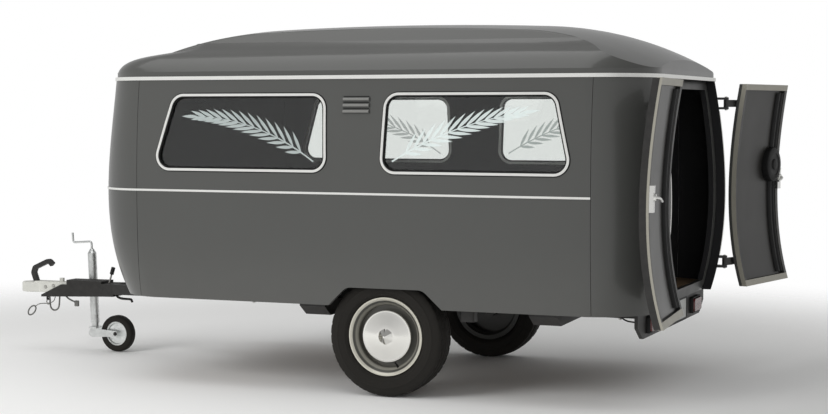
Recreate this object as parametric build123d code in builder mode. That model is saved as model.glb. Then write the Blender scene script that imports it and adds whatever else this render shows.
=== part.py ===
from build123d import *

import os
from math import asin, cos, degrees, radians, sin

# Single-axle funeral trailer with a rounded body, two rear doors standing open and a screw jack.
# Millimetres. +X is forward to the coupling, +Y is left, +Z is up and the ground is at Z = 0.
# The origin is on the ground under the middle of the whole outline.

# Clearances
SEAT = 0.2  # between two pieces of one body that seat on each other
RUNNING = 0.05  # radial, between a pin and its bore
DOOR_GAP = 5.0  # round each rear door
SEAM = 2.0  # between two wall panels

# Body outline
AXLE_X = -509.0  # wheel centre
SKIRT_Z = 421.0
WAIST_Z = 650.0
BELT_Z = 942.0
GUTTER_Z = 1470.0
WALL = 26.0
FRONT_SEAM_X = AXLE_X + 1281.0
REAR_SEAM_X = AXLE_X - 997.0

# Body sections: height, front ahead of the axle, rear behind the axle, half width, corner radius
BODY_SECTIONS = (
    (SKIRT_Z, 1459.0, 1225.0, 812.0, 285.0),
    (WAIST_Z, 1547.0, 1276.0, 822.0, 295.0),
    (BELT_Z, 1575.0, 1293.0, 827.0, 300.0),
    (GUTTER_Z, 1535.0, 1238.0, 796.0, 285.0),
)
_, GUTTER_FRONT, GUTTER_REAR, GUTTER_HALF, GUTTER_CORNER = BODY_SECTIONS[-1]
_, BELT_FRONT, BELT_REAR, BELT_HALF, BELT_CORNER = BODY_SECTIONS[2]
REACH = 2.0 * BELT_FRONT  # longer than the body in any direction

# Roof: a coved lower tier, and an upper tier with sloping walls under one long crown
ROOF_LEDGE = 6.0
ROOF_WALL = 24.0
ROOF_UPSTAND = 40.0
ROOF_EDGE = 18.0  # rounding along the top of the upper tier's walls

# Tier sections: rise above the gutter, how far the sides, front and rear draw in, corner radius
LOWER_TIER = (
    (ROOF_UPSTAND, 0.0, 0.0, 0.0, 285.0),
    (72.0, 22.0, 22.0, 8.0, 262.0),
    (128.0, 95.0, 205.0, 24.0, 200.0),
    (182.0, 200.0, 400.0, 44.0, 130.0),
)
UPPER_TIER = (
    (60.0, 100.0, 130.0, 50.0, 190.0),
    (300.0, 300.0, 330.0, 90.0, 90.0),
)
CROWN_X = AXLE_X + 120.0  # highest point
CROWN_RISE = 275.0
CROWN_CROSS_RADIUS = 4200.0
CROWN_LONG_RADIUS = 17000.0
CROWN_FRONT_RADIUS = 1800.0
CROWN_REAR_RADIUS = 1450.0
CROWN_FRONT_X = AXLE_X + 740.0  # where the crown starts to bend down to the front
CROWN_REAR_X = AXLE_X - 600.0  # and to the rear
CROWN_HALF = 900.0
CROWN_DEPTH = 330.0
CROWN_REACH = 36.0  # degrees

# Bright trim
GUTTER_HEIGHT = 17.0
GUTTER_PROUD = 5.0
BELT_HEIGHT = 10.0
BELT_PROUD = 4.0

# Side windows: top and bottom of the front edge, top and bottom of the rear edge, top, bottom
WINDOW_CORNER = 72.0
WINDOWS = (
    (AXLE_X + 1084.0, AXLE_X + 1197.0, AXLE_X + 278.0, AXLE_X + 269.0, 1404.0, 1037.0),
    (AXLE_X - 17.0, AXLE_X + 3.0, AXLE_X - 835.0, AXLE_X - 919.0, 1406.0, 1035.0),
)
FRAME_WIDTH = 12.0
FRAME_PROUD = 5.0
GLASS_DEPTH = 10.0
GLASS_THICK = 5.0

# Louvres on the side walls
LOUVRE_COUNT = 3
LOUVRE_X = AXLE_X + 57.0
LOUVRE_LENGTH = 135.0
LOUVRE_LOW_Z = 1312.0
LOUVRE_PITCH = 28.0
LOUVRE_HEIGHT = 18.0
LOUVRE_PROUD = 7.0

# Wheels and their arches
WHEEL_Y = 700.0
TYRE_RADIUS = 280.5
TYRE_WIDTH = 165.0
TREAD_WIDTH = 128.0
TREAD_CROWN = 5.0
SHOULDER_DEPTH = 16.0
SHOULDER_OUT = 9.0
BEAD_SEAT_IN = 12.0  # in from the edge of the rim
RIM_RADIUS = 182.5
RIM_WIDTH = 132.0
BEAD_RADIUS = 166.0
RIM_WELL_RADIUS = 146.0
FLANGE_THICK = 11.5
RIM_LIP = 14.0
RIM_STEP = 34.0
RIM_BACK_LIP = 22.0
RIM_BACK_STEP = 30.0
DISC_THICK = 6.0
HUB_RADIUS = 62.0
HUB_LENGTH = 78.0
STUB_RADIUS = 15.0
CAP_RADIUS = 124.0
CAP_LIP = 6.0
CAP_HEIGHT = 20.0
CAP_DOME = 14.0
CAP_BOSS_RADIUS = 38.0
CAP_BOSS_FLARE = 8.0
CAP_BOSS_TOP_RADIUS = 23.0
CAP_BOSS_HEIGHT = 24.0
ARCH_X = AXLE_X - 14.0
ARCH_TOP_Z = 508.0
ARCH_TOP_HALF = 190.0
ARCH_FOOT_HALF = 285.0
ARCH_CORNER = 60.0
BOX_HALF = 345.0
BOX_INNER_Y = 575.0
BOX_OUTER_Y = 784.0
BOX_TOP_Z = 606.0
BOX_SHEET = 4.0

# Floor and chassis
FLOOR_LOW_Z = 430.0
FLOOR_THICK = 25.0
FLOOR_TOP_Z = FLOOR_LOW_Z + FLOOR_THICK
FLOOR_REAR_X = AXLE_X - 1120.0
RAIL_Y = 340.0
RAIL_WIDTH = 40.0
RAIL_DEPTH = 62.0
RAIL_REAR_X = AXLE_X - 1150.0
RAIL_FRONT_X = AXLE_X + 1120.0
CROSS_X = (AXLE_X - 1060.0, AXLE_X - 480.0, AXLE_X + 440.0, RAIL_FRONT_X - 20.0)
CROSS_WIDTH = 40.0
OUTRIGGER_X = (AXLE_X + 375.0, AXLE_X - 760.0)
OUTRIGGER_LENGTH = 130.0
OUTRIGGER_REACH = 760.0
OUTRIGGER_DEPTH = 70.0
JACKING_X = AXLE_X - 384.0
JACKING_LENGTH = 68.0
JACKING_Y = 690.0
JACKING_WIDTH = 60.0
JACKING_Z = 361.0
AXLE_BEAM_X = AXLE_X + 165.0
AXLE_BEAM_SIDE = 60.0
AXLE_BEAM_HALF = 548.0
ARM_THICK = 24.0
ARM_END_RADIUS = 38.0

# Drawbar and coupling
BEAM_WIDTH = 44.0
BEAM_DEPTH = 54.0
BEAM_DROP = 36.0
BEAM_BELOW_FLOOR = 10.0
BEAM_NOSE_Y = 44.0
COVER_REAR_X = AXLE_X + 1890.0
COVER_LOW_Z = 320.0
COVER_TOP_Z = 398.0
COVER_REAR_HALF = 78.0
COVER_CHEEK = 70.0
COVER_CHEEK_IN = 14.0
COVER_STEP_X = AXLE_X + 1975.0  # behind it the top is lower
COVER_TAIL_Z = 385.0
WEDGE_TIP_X = AXLE_X + 2380.0  # point of the cover under the coupling
WEDGE_TIP_Z = 309.0
WEDGE_LOW_Z = 298.0
WEDGE_HALF = 33.0
WEDGE_HEAD_X = AXLE_X + 2245.0  # where the wedge's slope meets the tongue
TONGUE_REAR_X = AXLE_X + 2206.0
TONGUE_Z = 371.0
TONGUE_THICK = 12.0
HEAD_LOW_Z = 322.0
HEAD_HEIGHT = 56.0
NOSE_X = AXLE_X + 2515.0
HEAD_RADIUS = 45.0
NECK_HALF = 31.0
SOCKET_RADIUS = 25.3
SOCKET_DEPTH = 32.0
NECK_REACH = 72.0  # behind the socket's centre
LUG_X = 8.0  # ahead of the wedge's head
LUG_LENGTH = 22.0
LUG_WIDTH = 16.0
LUG_HEIGHT = 20.0
HANDLE_THICK = 24.0
HANDLE_WIDTH = 27.0
HANDLE_BEND = 16.0

# Hand lever of the coupling: back from the socket's centre, up from the top of the head
HANDLE_PATH = ((42.0, 0.0), (24.0, 50.0), (34.0, 78.0), (124.0, 118.0), (147.0, 96.0))
LINK_RADIUS = 17.0
LINK_ROD = 3.5
LINK_HOLE = 5.5
LINK_TAB = 8.0  # thickness of the tab that the ring hangs from
LINK_TAB_RADIUS = 12.0
LINK_BACK = 26.0  # behind the wedge's point
LINK_Z = 288.0
LINK_SAG = 1.1  # so that the ring rests on the edge of its hole
LEVER_AHEAD = 72.0
LEVER_LEAN = 16.0
LEVER_RISE = 50.0
LEVER_RADIUS = 5.0
GRIP_RADIUS = 11.0
GRIP_LENGTH = 38.0

# Screw jack with its wheel
JACK_Y = -88.0
JACK_LEAN = 2.5  # degrees, top forward
JACK_WHEEL_X = AXLE_X + 1962.0
JACK_WHEEL_RADIUS = 100.0
JACK_TRAIL = 145.0
JACK_TUBE_RADIUS = 24.0
JACK_LEG_RADIUS = 20.0
JACK_TUBE_LOW = 54.0
JACK_TUBE_LENGTH = 408.0
JACK_CAP = 24.0  # conical top of the tube
JACK_CAP_TAPER = 30.0  # degrees
JACK_LEG_SHOWS = 22.0
JACK_LEG_LENGTH = 270.0
JACK_SPIGOT_RADIUS = 10.0
JACK_SPIGOT_LENGTH = 16.0
JACK_TYRE_WIDTH = 48.0
JACK_RIM_RADIUS = 66.0
JACK_RIM_WIDTH = 38.0
JACK_HUB_RADIUS = 16.0
JACK_HUB_FLARE = 3.0
JACK_HUB_ROOM = 1.0
JACK_RIM_BAND = 8.0
JACK_RIM_SLOPE = 4.0
JACK_PIN_RADIUS = 8.0
FORK_SHEET = 4.0
FORK_ROOM = 5.5
FORK_CROWN = 8.0
CLAMP_WALL = 11.0
CLAMP_HEIGHT = 52.0
CRANK_RADIUS = 6.0
CRANK_BEND = 12.0

# Jack's crank: along the tube from its top, then forward
CRANK_PATH = ((0.0, 0.0), (40.0, 0.0), (32.0, 118.0), (86.0, 120.0))

# Rear doors and their frame
DOOR_THICK = 40.0
DOOR_SKIN = 16.0
DOOR_RIM = 30.0
LINER_THICK = 6.0
DOOR_LOW_Z = SKIRT_Z + 11.0
DOOR_TOP_Z = GUTTER_Z - 12.0
DOOR_SPLIT_Y = 557.0  # between a door and the post that carries it
HINGE_X = AXLE_X - 1280.0
HINGE_Y = 620.0
HINGE_PIN_RADIUS = 6.0
HINGE_KNUCKLE_RADIUS = 13.0
HINGE_LEAF = 36.0
HINGE_LEAF_IN = 45.0  # from the door's edge to the middle of the leaf's plate
HINGE_LEAF_WIDTH = 50.0
HINGE_CHEEK = 12.0
HINGE_ROOT = 80.0  # how far in the cheeks are rooted
HINGE_CHEEK_WIDTH = 60.0
HINGE_HEIGHTS = (560.0, 1360.0)
LEFT_DOOR_OPEN = 175.0
RIGHT_DOOR_OPEN = 168.0
JAMB_DEPTH = 70.0
JAMB_INNER_Y = 490.0
JAMB_BACK_Y = 602.0
SILL_TOP_Z = 474.0
HEADER_LOW_Z = 1426.0
LATCH_Z = 965.0
LATCH_HEIGHT = 110.0
LATCH_IN = 3.0  # from the door's free edge
LATCH_WIDTH = 39.0
LATCH_DEPTH = 18.0

# Rear valance, lamps and plate
VALANCE_X = RAIL_REAR_X
VALANCE_THICK = 16.0
VALANCE_LOW_Z = 302.0
VALANCE_TOP_Z = SKIRT_Z - 2.0
VALANCE_HALF = 650.0
VALANCE_TAPER = 90.0
PLATE_LENGTH = 520.0
PLATE_HEIGHT = 106.0
PLATE_THICK = 3.0
LAMP_Y = 425.0
LAMP_LENGTH = 150.0
LAMP_HEIGHT = 68.0
LAMP_DEPTH = 26.0
LAMP_TAPER = 8.0  # degrees
CABLE_RADIUS = 3.5
CABLE_BEND = 14.0

# Lamp cable: ahead of the valance, below the floor
CABLE_PATH = ((74.0, 0.0), (66.0, 26.0), (38.0, 42.0), (0.0, 46.0))

# Load deck
DECK_REAR_X = AXLE_X - 1085.0
DECK_FRONT_X = AXLE_X + 1180.0
DECK_HALF = 335.0
DECK_THICK = 18.0
RUNNER_HEIGHT = 18.0
RUNNER_WIDTH = 45.0
DECK_RAIL = 28.0
DECK_RAIL_HEIGHT = 22.0
ROLLER_COUNT = 6
ROLLER_RADIUS = 13.0

SIDES = (("left", 1), ("right", -1))
os.makedirs("parts", exist_ok=True)


def keep(name, piece):
    """Label a finished piece and write it out."""
    piece.label = name
    export_step(piece, f"parts/{name}.step")


def block(low, high, mode=Mode.ADD):
    """Box between two corners, in whatever part is open."""
    middle = tuple((a + b) / 2 for a, b in zip(low, high))
    with Locations(middle):
        Box(*[abs(b - a) for a, b in zip(low, high)], mode=mode)


def body_form(inset):
    """Solid form of the body, drawn in by an inset all round."""
    with BuildPart() as form:
        for height, ahead, behind, half, corner in BODY_SECTIONS:
            with BuildSketch(Plane((AXLE_X + (ahead - behind) / 2, 0, height))):
                RectangleRounded(ahead + behind - 2 * inset, 2 * (half - inset), corner - inset)
        loft()
    return form.part


def layer(outer, inner):
    """Layer of the body between two insets."""
    with BuildPart() as band:
        add(body_form(outer))
        add(body_form(inner), mode=Mode.SUBTRACT)
    return band.part


def gutter_section(grow):
    """Plan of the body at the gutter, grown all round."""
    with BuildSketch(Plane((AXLE_X + (GUTTER_FRONT - GUTTER_REAR) / 2, 0, GUTTER_Z))) as plan:
        RectangleRounded(
            GUTTER_FRONT + GUTTER_REAR + 2 * grow,
            2 * (GUTTER_HALF + grow),
            GUTTER_CORNER + grow,
        )
    return plan.sketch


def window_bar(window, grow):
    """Bar of a window's outline right across the body."""
    top_front, low_front, top_rear, low_rear, top, bottom = window
    with BuildPart() as bar:
        with BuildSketch(Plane.XZ) as outline:
            with BuildLine():
                Polyline(
                    (top_front, top),
                    (low_front, bottom),
                    (low_rear, bottom),
                    (top_rear, top),
                    close=True,
                )
            make_face()
            fillet(outline.vertices(), WINDOW_CORNER)
            if grow:
                offset(amount=grow)
        extrude(amount=REACH, both=True)
    return bar.part


# Body walls
wall = layer(0, WALL)

with BuildPart() as front_cap:
    add(wall)
    block((FRONT_SEAM_X + SEAM / 2, -REACH, 0), (REACH, REACH, REACH), Mode.INTERSECT)
keep("front_cap", front_cap.part)

with BuildPart() as arch:
    with BuildSketch(Plane.XZ) as arch_outline:
        with BuildLine():
            Polyline(
                (ARCH_X - ARCH_FOOT_HALF, SKIRT_Z - SEAM),
                (ARCH_X + ARCH_FOOT_HALF, SKIRT_Z - SEAM),
                (ARCH_X + ARCH_TOP_HALF, ARCH_TOP_Z),
                (ARCH_X - ARCH_TOP_HALF, ARCH_TOP_Z),
                close=True,
            )
        make_face()
        fillet(arch_outline.vertices().group_by(Axis.Y)[-1], ARCH_CORNER)
    extrude(amount=REACH, both=True)

with BuildPart() as louvres:
    for step in range(LOUVRE_COUNT):
        low = LOUVRE_LOW_Z + step * LOUVRE_PITCH
        block((LOUVRE_X, -REACH, low), (LOUVRE_X + LOUVRE_LENGTH, REACH, low + LOUVRE_HEIGHT))
    add(layer(-LOUVRE_PROUD, WALL), mode=Mode.INTERSECT)

for side, sign in SIDES:
    with BuildPart() as side_panel:
        add(wall)
        add(louvres.part)
        block(
            (REAR_SEAM_X + SEAM / 2, 0, 0),
            (FRONT_SEAM_X - SEAM / 2, sign * REACH, REACH),
            Mode.INTERSECT,
        )
        for window in WINDOWS:
            add(window_bar(window, 0), mode=Mode.SUBTRACT)
        add(arch.part, mode=Mode.SUBTRACT)
    keep(f"{side}_side_panel", side_panel.part)

# Rear corners carry the stepped door jambs
JAMB_STEP = DOOR_THICK + DOOR_GAP
POST_Y = DOOR_SPLIT_Y + DOOR_GAP / 2
REAR_X = AXLE_X - BELT_REAR
JAMB_FRONT_X = REAR_X + 4 * JAMB_DEPTH
for side, sign in SIDES:
    with BuildPart() as outer_jamb:
        add(layer(0, JAMB_DEPTH))
        block(
            (-REACH, sign * POST_Y, 0),
            (JAMB_FRONT_X, sign * JAMB_BACK_Y, REACH),
            Mode.INTERSECT,
        )
    with BuildPart() as inner_jamb:
        add(layer(JAMB_STEP, JAMB_DEPTH))
        block(
            (-REACH, sign * JAMB_INNER_Y, 0),
            (JAMB_FRONT_X, sign * JAMB_BACK_Y, REACH),
            Mode.INTERSECT,
        )
    with BuildPart() as rear_corner:
        add(wall)
        block(
            (-REACH, sign * POST_Y, 0),
            (REAR_SEAM_X - SEAM / 2, sign * REACH, REACH),
            Mode.INTERSECT,
        )
        add(outer_jamb.part)
        add(inner_jamb.part)
    keep(f"rear_corner_{side}", rear_corner.part)

for name, low, high in (
    ("rear_sill", 0, SILL_TOP_Z),
    ("rear_header", HEADER_LOW_Z, REACH),
):
    with BuildPart() as rear_bar:
        add(layer(JAMB_STEP, JAMB_DEPTH))
        block((-REACH, -JAMB_INNER_Y, low), (JAMB_FRONT_X, JAMB_INNER_Y, high), Mode.INTERSECT)
    keep(name, rear_bar.part)


# Roof
def tier(sections, inset):
    """Solid form of one tier of the roof, drawn in by an inset."""
    with BuildPart() as form:
        for rise, side, front, rear, corner in sections:
            ahead = GUTTER_FRONT - ROOF_LEDGE - front - inset
            behind = GUTTER_REAR - ROOF_LEDGE - rear - inset
            half = GUTTER_HALF - ROOF_LEDGE - side - inset
            with BuildSketch(Plane((AXLE_X + (ahead - behind) / 2, 0, GUTTER_Z + rise))):
                RectangleRounded(ahead + behind, 2 * half, corner - inset)
        loft()
    return form.part


def crown_form(front_radius, inset):
    """Block under the crown, which bends down at the rear and, by a given radius, at the front."""
    lean_rear = asin((CROWN_X - CROWN_REAR_X) / CROWN_LONG_RADIUS)
    lean_front = asin((CROWN_FRONT_X - CROWN_X) / CROWN_LONG_RADIUS)
    middle_z = GUTTER_Z + CROWN_RISE - CROWN_LONG_RADIUS
    rear_out = CROWN_LONG_RADIUS - CROWN_REAR_RADIUS
    front_out = CROWN_LONG_RADIUS - front_radius
    rear_centre = (CROWN_X - rear_out * sin(lean_rear), middle_z + rear_out * cos(lean_rear))
    front_centre = (CROWN_X + front_out * sin(lean_front), middle_z + front_out * cos(lean_front))
    from_rear = 90 + degrees(lean_rear)
    to_front = 90 - degrees(lean_front)
    cross_radius = CROWN_CROSS_RADIUS - inset
    drop = cross_radius - (cross_radius**2 - CROWN_HALF**2) ** 0.5
    with BuildPart() as crown:
        with BuildLine(Plane.XZ) as ridge:
            CenterArc(
                rear_centre,
                CROWN_REAR_RADIUS - inset,
                90 + CROWN_REACH,
                from_rear - 90 - CROWN_REACH,
            )
            CenterArc(
                (CROWN_X, middle_z), CROWN_LONG_RADIUS - inset, from_rear, to_front - from_rear
            )
            CenterArc(
                front_centre, front_radius - inset, to_front, 90 - CROWN_REACH - to_front
            )
        ridge_line = ridge.wires()[0]
        with BuildSketch(Plane(ridge_line @ 0, x_dir=(0, 1, 0), z_dir=ridge_line % 0)):
            with BuildLine():
                ThreePointArc((-CROWN_HALF, -drop), (0, 0), (CROWN_HALF, -drop))
                Polyline(
                    (CROWN_HALF, -drop),
                    (CROWN_HALF, -CROWN_DEPTH),
                    (-CROWN_HALF, -CROWN_DEPTH),
                    (-CROWN_HALF, -drop),
                )
            make_face()
        sweep(path=ridge_line)
    return crown.part


def roof_form(inset):
    """Solid form of the roof, drawn in by an inset."""
    with BuildPart() as upper:
        add(tier(UPPER_TIER, inset))
        add(crown_form(CROWN_FRONT_RADIUS, inset), mode=Mode.INTERSECT)
        wall_tops = [
            edge
            for edge in upper.edges()
            if edge.length > LOWER_TIER[-1][-1]
            and (edge @ 0.5).Z > GUTTER_Z + LOWER_TIER[2][0]
            and abs((edge @ 0.5).Y) > GUTTER_HALF / 2
        ]
        fillet(wall_tops, ROOF_EDGE - inset / 2)
    with BuildPart() as form:
        extrude(gutter_section(-ROOF_LEDGE - inset), amount=ROOF_UPSTAND)
        add(tier(LOWER_TIER, inset))
        add(crown_form(CROWN_LONG_RADIUS, inset), mode=Mode.INTERSECT)
        add(upper.part)
    return form.part


with BuildPart() as roof:
    add(roof_form(0))
    add(roof_form(ROOF_WALL), mode=Mode.SUBTRACT)
keep("roof", roof.part)

with BuildPart() as gutter_trim:
    extrude(gutter_section(GUTTER_PROUD), amount=GUTTER_HEIGHT)
    extrude(gutter_section(-ROOF_LEDGE + SEAT), amount=GUTTER_HEIGHT, mode=Mode.SUBTRACT)
keep("gutter_trim", gutter_trim.part)

with BuildPart() as belt_trim:
    with BuildSketch(Plane((AXLE_X + (BELT_FRONT - BELT_REAR) / 2, 0, BELT_Z - BELT_HEIGHT / 2))):
        for grow, mode in ((BELT_PROUD, Mode.ADD), (2 * SEAT, Mode.SUBTRACT)):
            RectangleRounded(
                BELT_FRONT + BELT_REAR + 2 * grow,
                2 * (BELT_HALF + grow),
                BELT_CORNER + grow,
                mode=mode,
            )
    extrude(amount=BELT_HEIGHT)
    block((REAR_SEAM_X, -REACH, 0), (REACH, REACH, REACH), Mode.INTERSECT)
keep("belt_trim", belt_trim.part)

# Window frames and panes
frame_layer = layer(-FRAME_PROUD, WALL + SEAT)
pane_layer = layer(GLASS_DEPTH, GLASS_DEPTH + GLASS_THICK)
with BuildPart() as frame_bars:
    for window in WINDOWS:
        add(window_bar(window, -SEAT))
    for window in WINDOWS:
        add(window_bar(window, -FRAME_WIDTH), mode=Mode.SUBTRACT)
with BuildPart() as window_trims:
    add(frame_layer)
    add(frame_bars.part, mode=Mode.INTERSECT)
keep("window_trims", window_trims.part)

with BuildPart() as pane_bars:
    for window in WINDOWS:
        add(window_bar(window, -FRAME_WIDTH - SEAT))
with BuildPart() as window_glass:
    add(pane_layer)
    add(pane_bars.part, mode=Mode.INTERSECT)
keep("window_glass", window_glass.part)

# Floor with a cut round each wheel box
with BuildPart() as floor_panel:
    add(body_form(WALL + SEAT))
    block((FLOOR_REAR_X, -REACH, FLOOR_LOW_Z), (REACH, REACH, FLOOR_TOP_Z), Mode.INTERSECT)
    for _, sign in SIDES:
        block(
            (AXLE_X - BOX_HALF - SEAT, sign * (BOX_INNER_Y - SEAT), 0),
            (AXLE_X + BOX_HALF + SEAT, sign * REACH, REACH),
            Mode.SUBTRACT,
        )
keep("floor_panel", floor_panel.part)

with BuildPart() as wheel_boxes:
    for _, sign in SIDES:
        block(
            (AXLE_X - BOX_HALF, sign * BOX_INNER_Y, FLOOR_LOW_Z),
            (AXLE_X + BOX_HALF, sign * BOX_OUTER_Y, BOX_TOP_Z),
        )
        block(
            (AXLE_X - BOX_HALF + BOX_SHEET, sign * (BOX_INNER_Y + BOX_SHEET), 0),
            (AXLE_X + BOX_HALF - BOX_SHEET, sign * REACH, BOX_TOP_Z - BOX_SHEET),
            Mode.SUBTRACT,
        )
keep("wheel_boxes", wheel_boxes.part)

# Chassis under the floor
RAIL_LOW_Z = FLOOR_LOW_Z - RAIL_DEPTH
with BuildPart() as chassis_rails:
    for _, sign in SIDES:
        block(
            (RAIL_REAR_X, sign * (RAIL_Y - RAIL_WIDTH / 2), RAIL_LOW_Z),
            (RAIL_FRONT_X, sign * (RAIL_Y + RAIL_WIDTH / 2), FLOOR_LOW_Z),
        )
keep("chassis_rails", chassis_rails.part)

with BuildPart() as cross_members:
    for cross_x in CROSS_X:
        block(
            (cross_x - CROSS_WIDTH / 2, -(RAIL_Y - RAIL_WIDTH / 2), RAIL_LOW_Z),
            (cross_x + CROSS_WIDTH / 2, RAIL_Y - RAIL_WIDTH / 2, FLOOR_LOW_Z),
        )
keep("cross_members", cross_members.part)

with BuildPart() as outriggers:
    for outrigger_x in OUTRIGGER_X:
        for _, sign in SIDES:
            with BuildSketch(Plane((outrigger_x, 0, FLOOR_LOW_Z), x_dir=(0, 1, 0), z_dir=(1, 0, 0))):
                with BuildLine():
                    Polyline(
                        (sign * (RAIL_Y + RAIL_WIDTH / 2), 0),
                        (sign * OUTRIGGER_REACH, 0),
                        (sign * OUTRIGGER_REACH, -OUTRIGGER_DEPTH / 3),
                        (sign * (OUTRIGGER_REACH - OUTRIGGER_DEPTH), -OUTRIGGER_DEPTH),
                        (sign * (RAIL_Y + RAIL_WIDTH / 2), -RAIL_DEPTH),
                        close=True,
                    )
                make_face()
            extrude(amount=OUTRIGGER_LENGTH / 2, both=True)
keep("outriggers", outriggers.part)

with BuildPart() as jacking_points:
    for _, sign in SIDES:
        block(
            (JACKING_X - JACKING_LENGTH / 2, sign * (JACKING_Y - JACKING_WIDTH / 2), JACKING_Z),
            (JACKING_X + JACKING_LENGTH / 2, sign * (JACKING_Y + JACKING_WIDTH / 2), FLOOR_LOW_Z),
        )
    fillet(jacking_points.edges().filter_by(Axis.Z), JACKING_LENGTH / 6)
keep("jacking_points", jacking_points.part)

# Torsion axle: a square beam under the rails, trailing arms and stub axles
AXLE_BEAM_Z = RAIL_LOW_Z - AXLE_BEAM_SIDE / 2
with BuildPart() as axle_beam:
    with BuildSketch(Plane.XZ) as beam_section:
        with Locations((AXLE_BEAM_X, AXLE_BEAM_Z)):
            RectangleRounded(AXLE_BEAM_SIDE, AXLE_BEAM_SIDE, AXLE_BEAM_SIDE / 8)
    extrude(amount=AXLE_BEAM_HALF, both=True)
keep("axle_beam", axle_beam.part)

HUB_INNER_Y = WHEEL_Y - HUB_LENGTH
STUB_END_Y = WHEEL_Y - DISC_THICK
for side, sign in SIDES:
    with BuildPart() as swing_arm:
        with BuildSketch(Plane.XZ.offset(-sign * AXLE_BEAM_HALF)):
            with Locations((AXLE_BEAM_X, AXLE_BEAM_Z)):
                Circle(ARM_END_RADIUS)
            with Locations((AXLE_X, TYRE_RADIUS)):
                Circle(ARM_END_RADIUS)
            make_hull()
        extrude(amount=-sign * ARM_THICK)
        with BuildSketch(Plane.XZ.offset(-sign * AXLE_BEAM_HALF)):
            with Locations((AXLE_X, TYRE_RADIUS)):
                Circle(STUB_RADIUS)
        extrude(amount=-sign * (STUB_END_Y - AXLE_BEAM_HALF))
    keep(f"{side}_swing_arm", swing_arm.part)

# Road wheels, drawn as half sections about their own axis
for side, sign in SIDES:
    wheel_centre = (AXLE_X, sign * WHEEL_Y, TYRE_RADIUS)
    wheel_plane = Plane(wheel_centre, x_dir=(0, 0, 1), z_dir=(-sign, 0, 0))
    wheel_axis = Axis(wheel_centre, (0, 1, 0))

    with BuildPart() as tyre:
        with BuildSketch(wheel_plane) as tyre_section:
            with BuildLine():
                bead = RIM_RADIUS + 5 * SEAT
                bead_y = RIM_WIDTH / 2 - BEAD_SEAT_IN
                shoulder = TYRE_RADIUS - SHOULDER_DEPTH
                shoulder_y = TREAD_WIDTH / 2 + SHOULDER_OUT
                belly = (bead + shoulder) / 2
                tread_edge = TYRE_RADIUS - TREAD_CROWN
                Line((BEAD_RADIUS + SEAT, -bead_y), (BEAD_RADIUS + SEAT, bead_y))
                Line((BEAD_RADIUS + SEAT, bead_y), (bead, bead_y))
                ThreePointArc((bead, bead_y), (belly, TYRE_WIDTH / 2), (shoulder, shoulder_y))
                Line((shoulder, shoulder_y), (tread_edge, TREAD_WIDTH / 2))
                ThreePointArc(
                    (tread_edge, TREAD_WIDTH / 2), (TYRE_RADIUS, 0), (tread_edge, -TREAD_WIDTH / 2)
                )
                Line((tread_edge, -TREAD_WIDTH / 2), (shoulder, -shoulder_y))
                ThreePointArc((shoulder, -shoulder_y), (belly, -TYRE_WIDTH / 2), (bead, -bead_y))
                Line((bead, -bead_y), (BEAD_RADIUS + SEAT, -bead_y))
            make_face()
        revolve(axis=wheel_axis)
    keep(f"{side}_tyre", tyre.part)

    with BuildPart() as rim:
        with BuildSketch(wheel_plane):
            with BuildLine():
                Polyline(
                    (STUB_RADIUS + RUNNING, -HUB_LENGTH + SEAT),
                    (HUB_RADIUS, -HUB_LENGTH + SEAT),
                    (HUB_RADIUS, 0),
                    (RIM_WELL_RADIUS, 0),
                    (RIM_WELL_RADIUS, -RIM_WIDTH / 2 + RIM_BACK_STEP),
                    (BEAD_RADIUS - DISC_THICK, -RIM_WIDTH / 2 + RIM_BACK_LIP),
                    (BEAD_RADIUS - DISC_THICK, -RIM_WIDTH / 2),
                    (RIM_RADIUS, -RIM_WIDTH / 2),
                    (RIM_RADIUS, -RIM_WIDTH / 2 + FLANGE_THICK),
                    (BEAD_RADIUS, -RIM_WIDTH / 2 + FLANGE_THICK),
                    (BEAD_RADIUS, RIM_WIDTH / 2 - FLANGE_THICK),
                    (RIM_RADIUS, RIM_WIDTH / 2 - FLANGE_THICK),
                    (RIM_RADIUS, RIM_WIDTH / 2),
                    (RIM_RADIUS - DISC_THICK, RIM_WIDTH / 2),
                    (BEAD_RADIUS - DISC_THICK, RIM_WIDTH / 2 - RIM_LIP),
                    (RIM_WELL_RADIUS, RIM_WIDTH / 2 - RIM_STEP),
                    (RIM_WELL_RADIUS, DISC_THICK),
                    (STUB_RADIUS + RUNNING, DISC_THICK),
                    close=True,
                )
            make_face()
        revolve(axis=wheel_axis)
    keep(f"{side}_rim", rim.part)

    with BuildPart() as hubcap:
        with BuildSketch(wheel_plane):
            with BuildLine():
                cap_edge = DISC_THICK + CAP_HEIGHT
                cap_face = cap_edge + CAP_DOME
                boss_foot = CAP_BOSS_RADIUS + CAP_BOSS_FLARE
                boss_top = cap_face + CAP_BOSS_HEIGHT
                Polyline((0, DISC_THICK), (CAP_RADIUS - CAP_LIP, DISC_THICK), (CAP_RADIUS, cap_edge))
                ThreePointArc(
                    (CAP_RADIUS, cap_edge),
                    ((CAP_RADIUS + boss_foot) / 2, cap_face - CAP_DOME / 4),
                    (boss_foot, cap_face),
                )
                Polyline(
                    (boss_foot, cap_face),
                    (CAP_BOSS_RADIUS, cap_face + CAP_BOSS_FLARE),
                    (CAP_BOSS_TOP_RADIUS, boss_top),
                    (0, boss_top),
                    (0, DISC_THICK),
                )
            make_face()
        revolve(axis=wheel_axis)
    keep(f"{side}_hubcap", hubcap.part)

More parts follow.
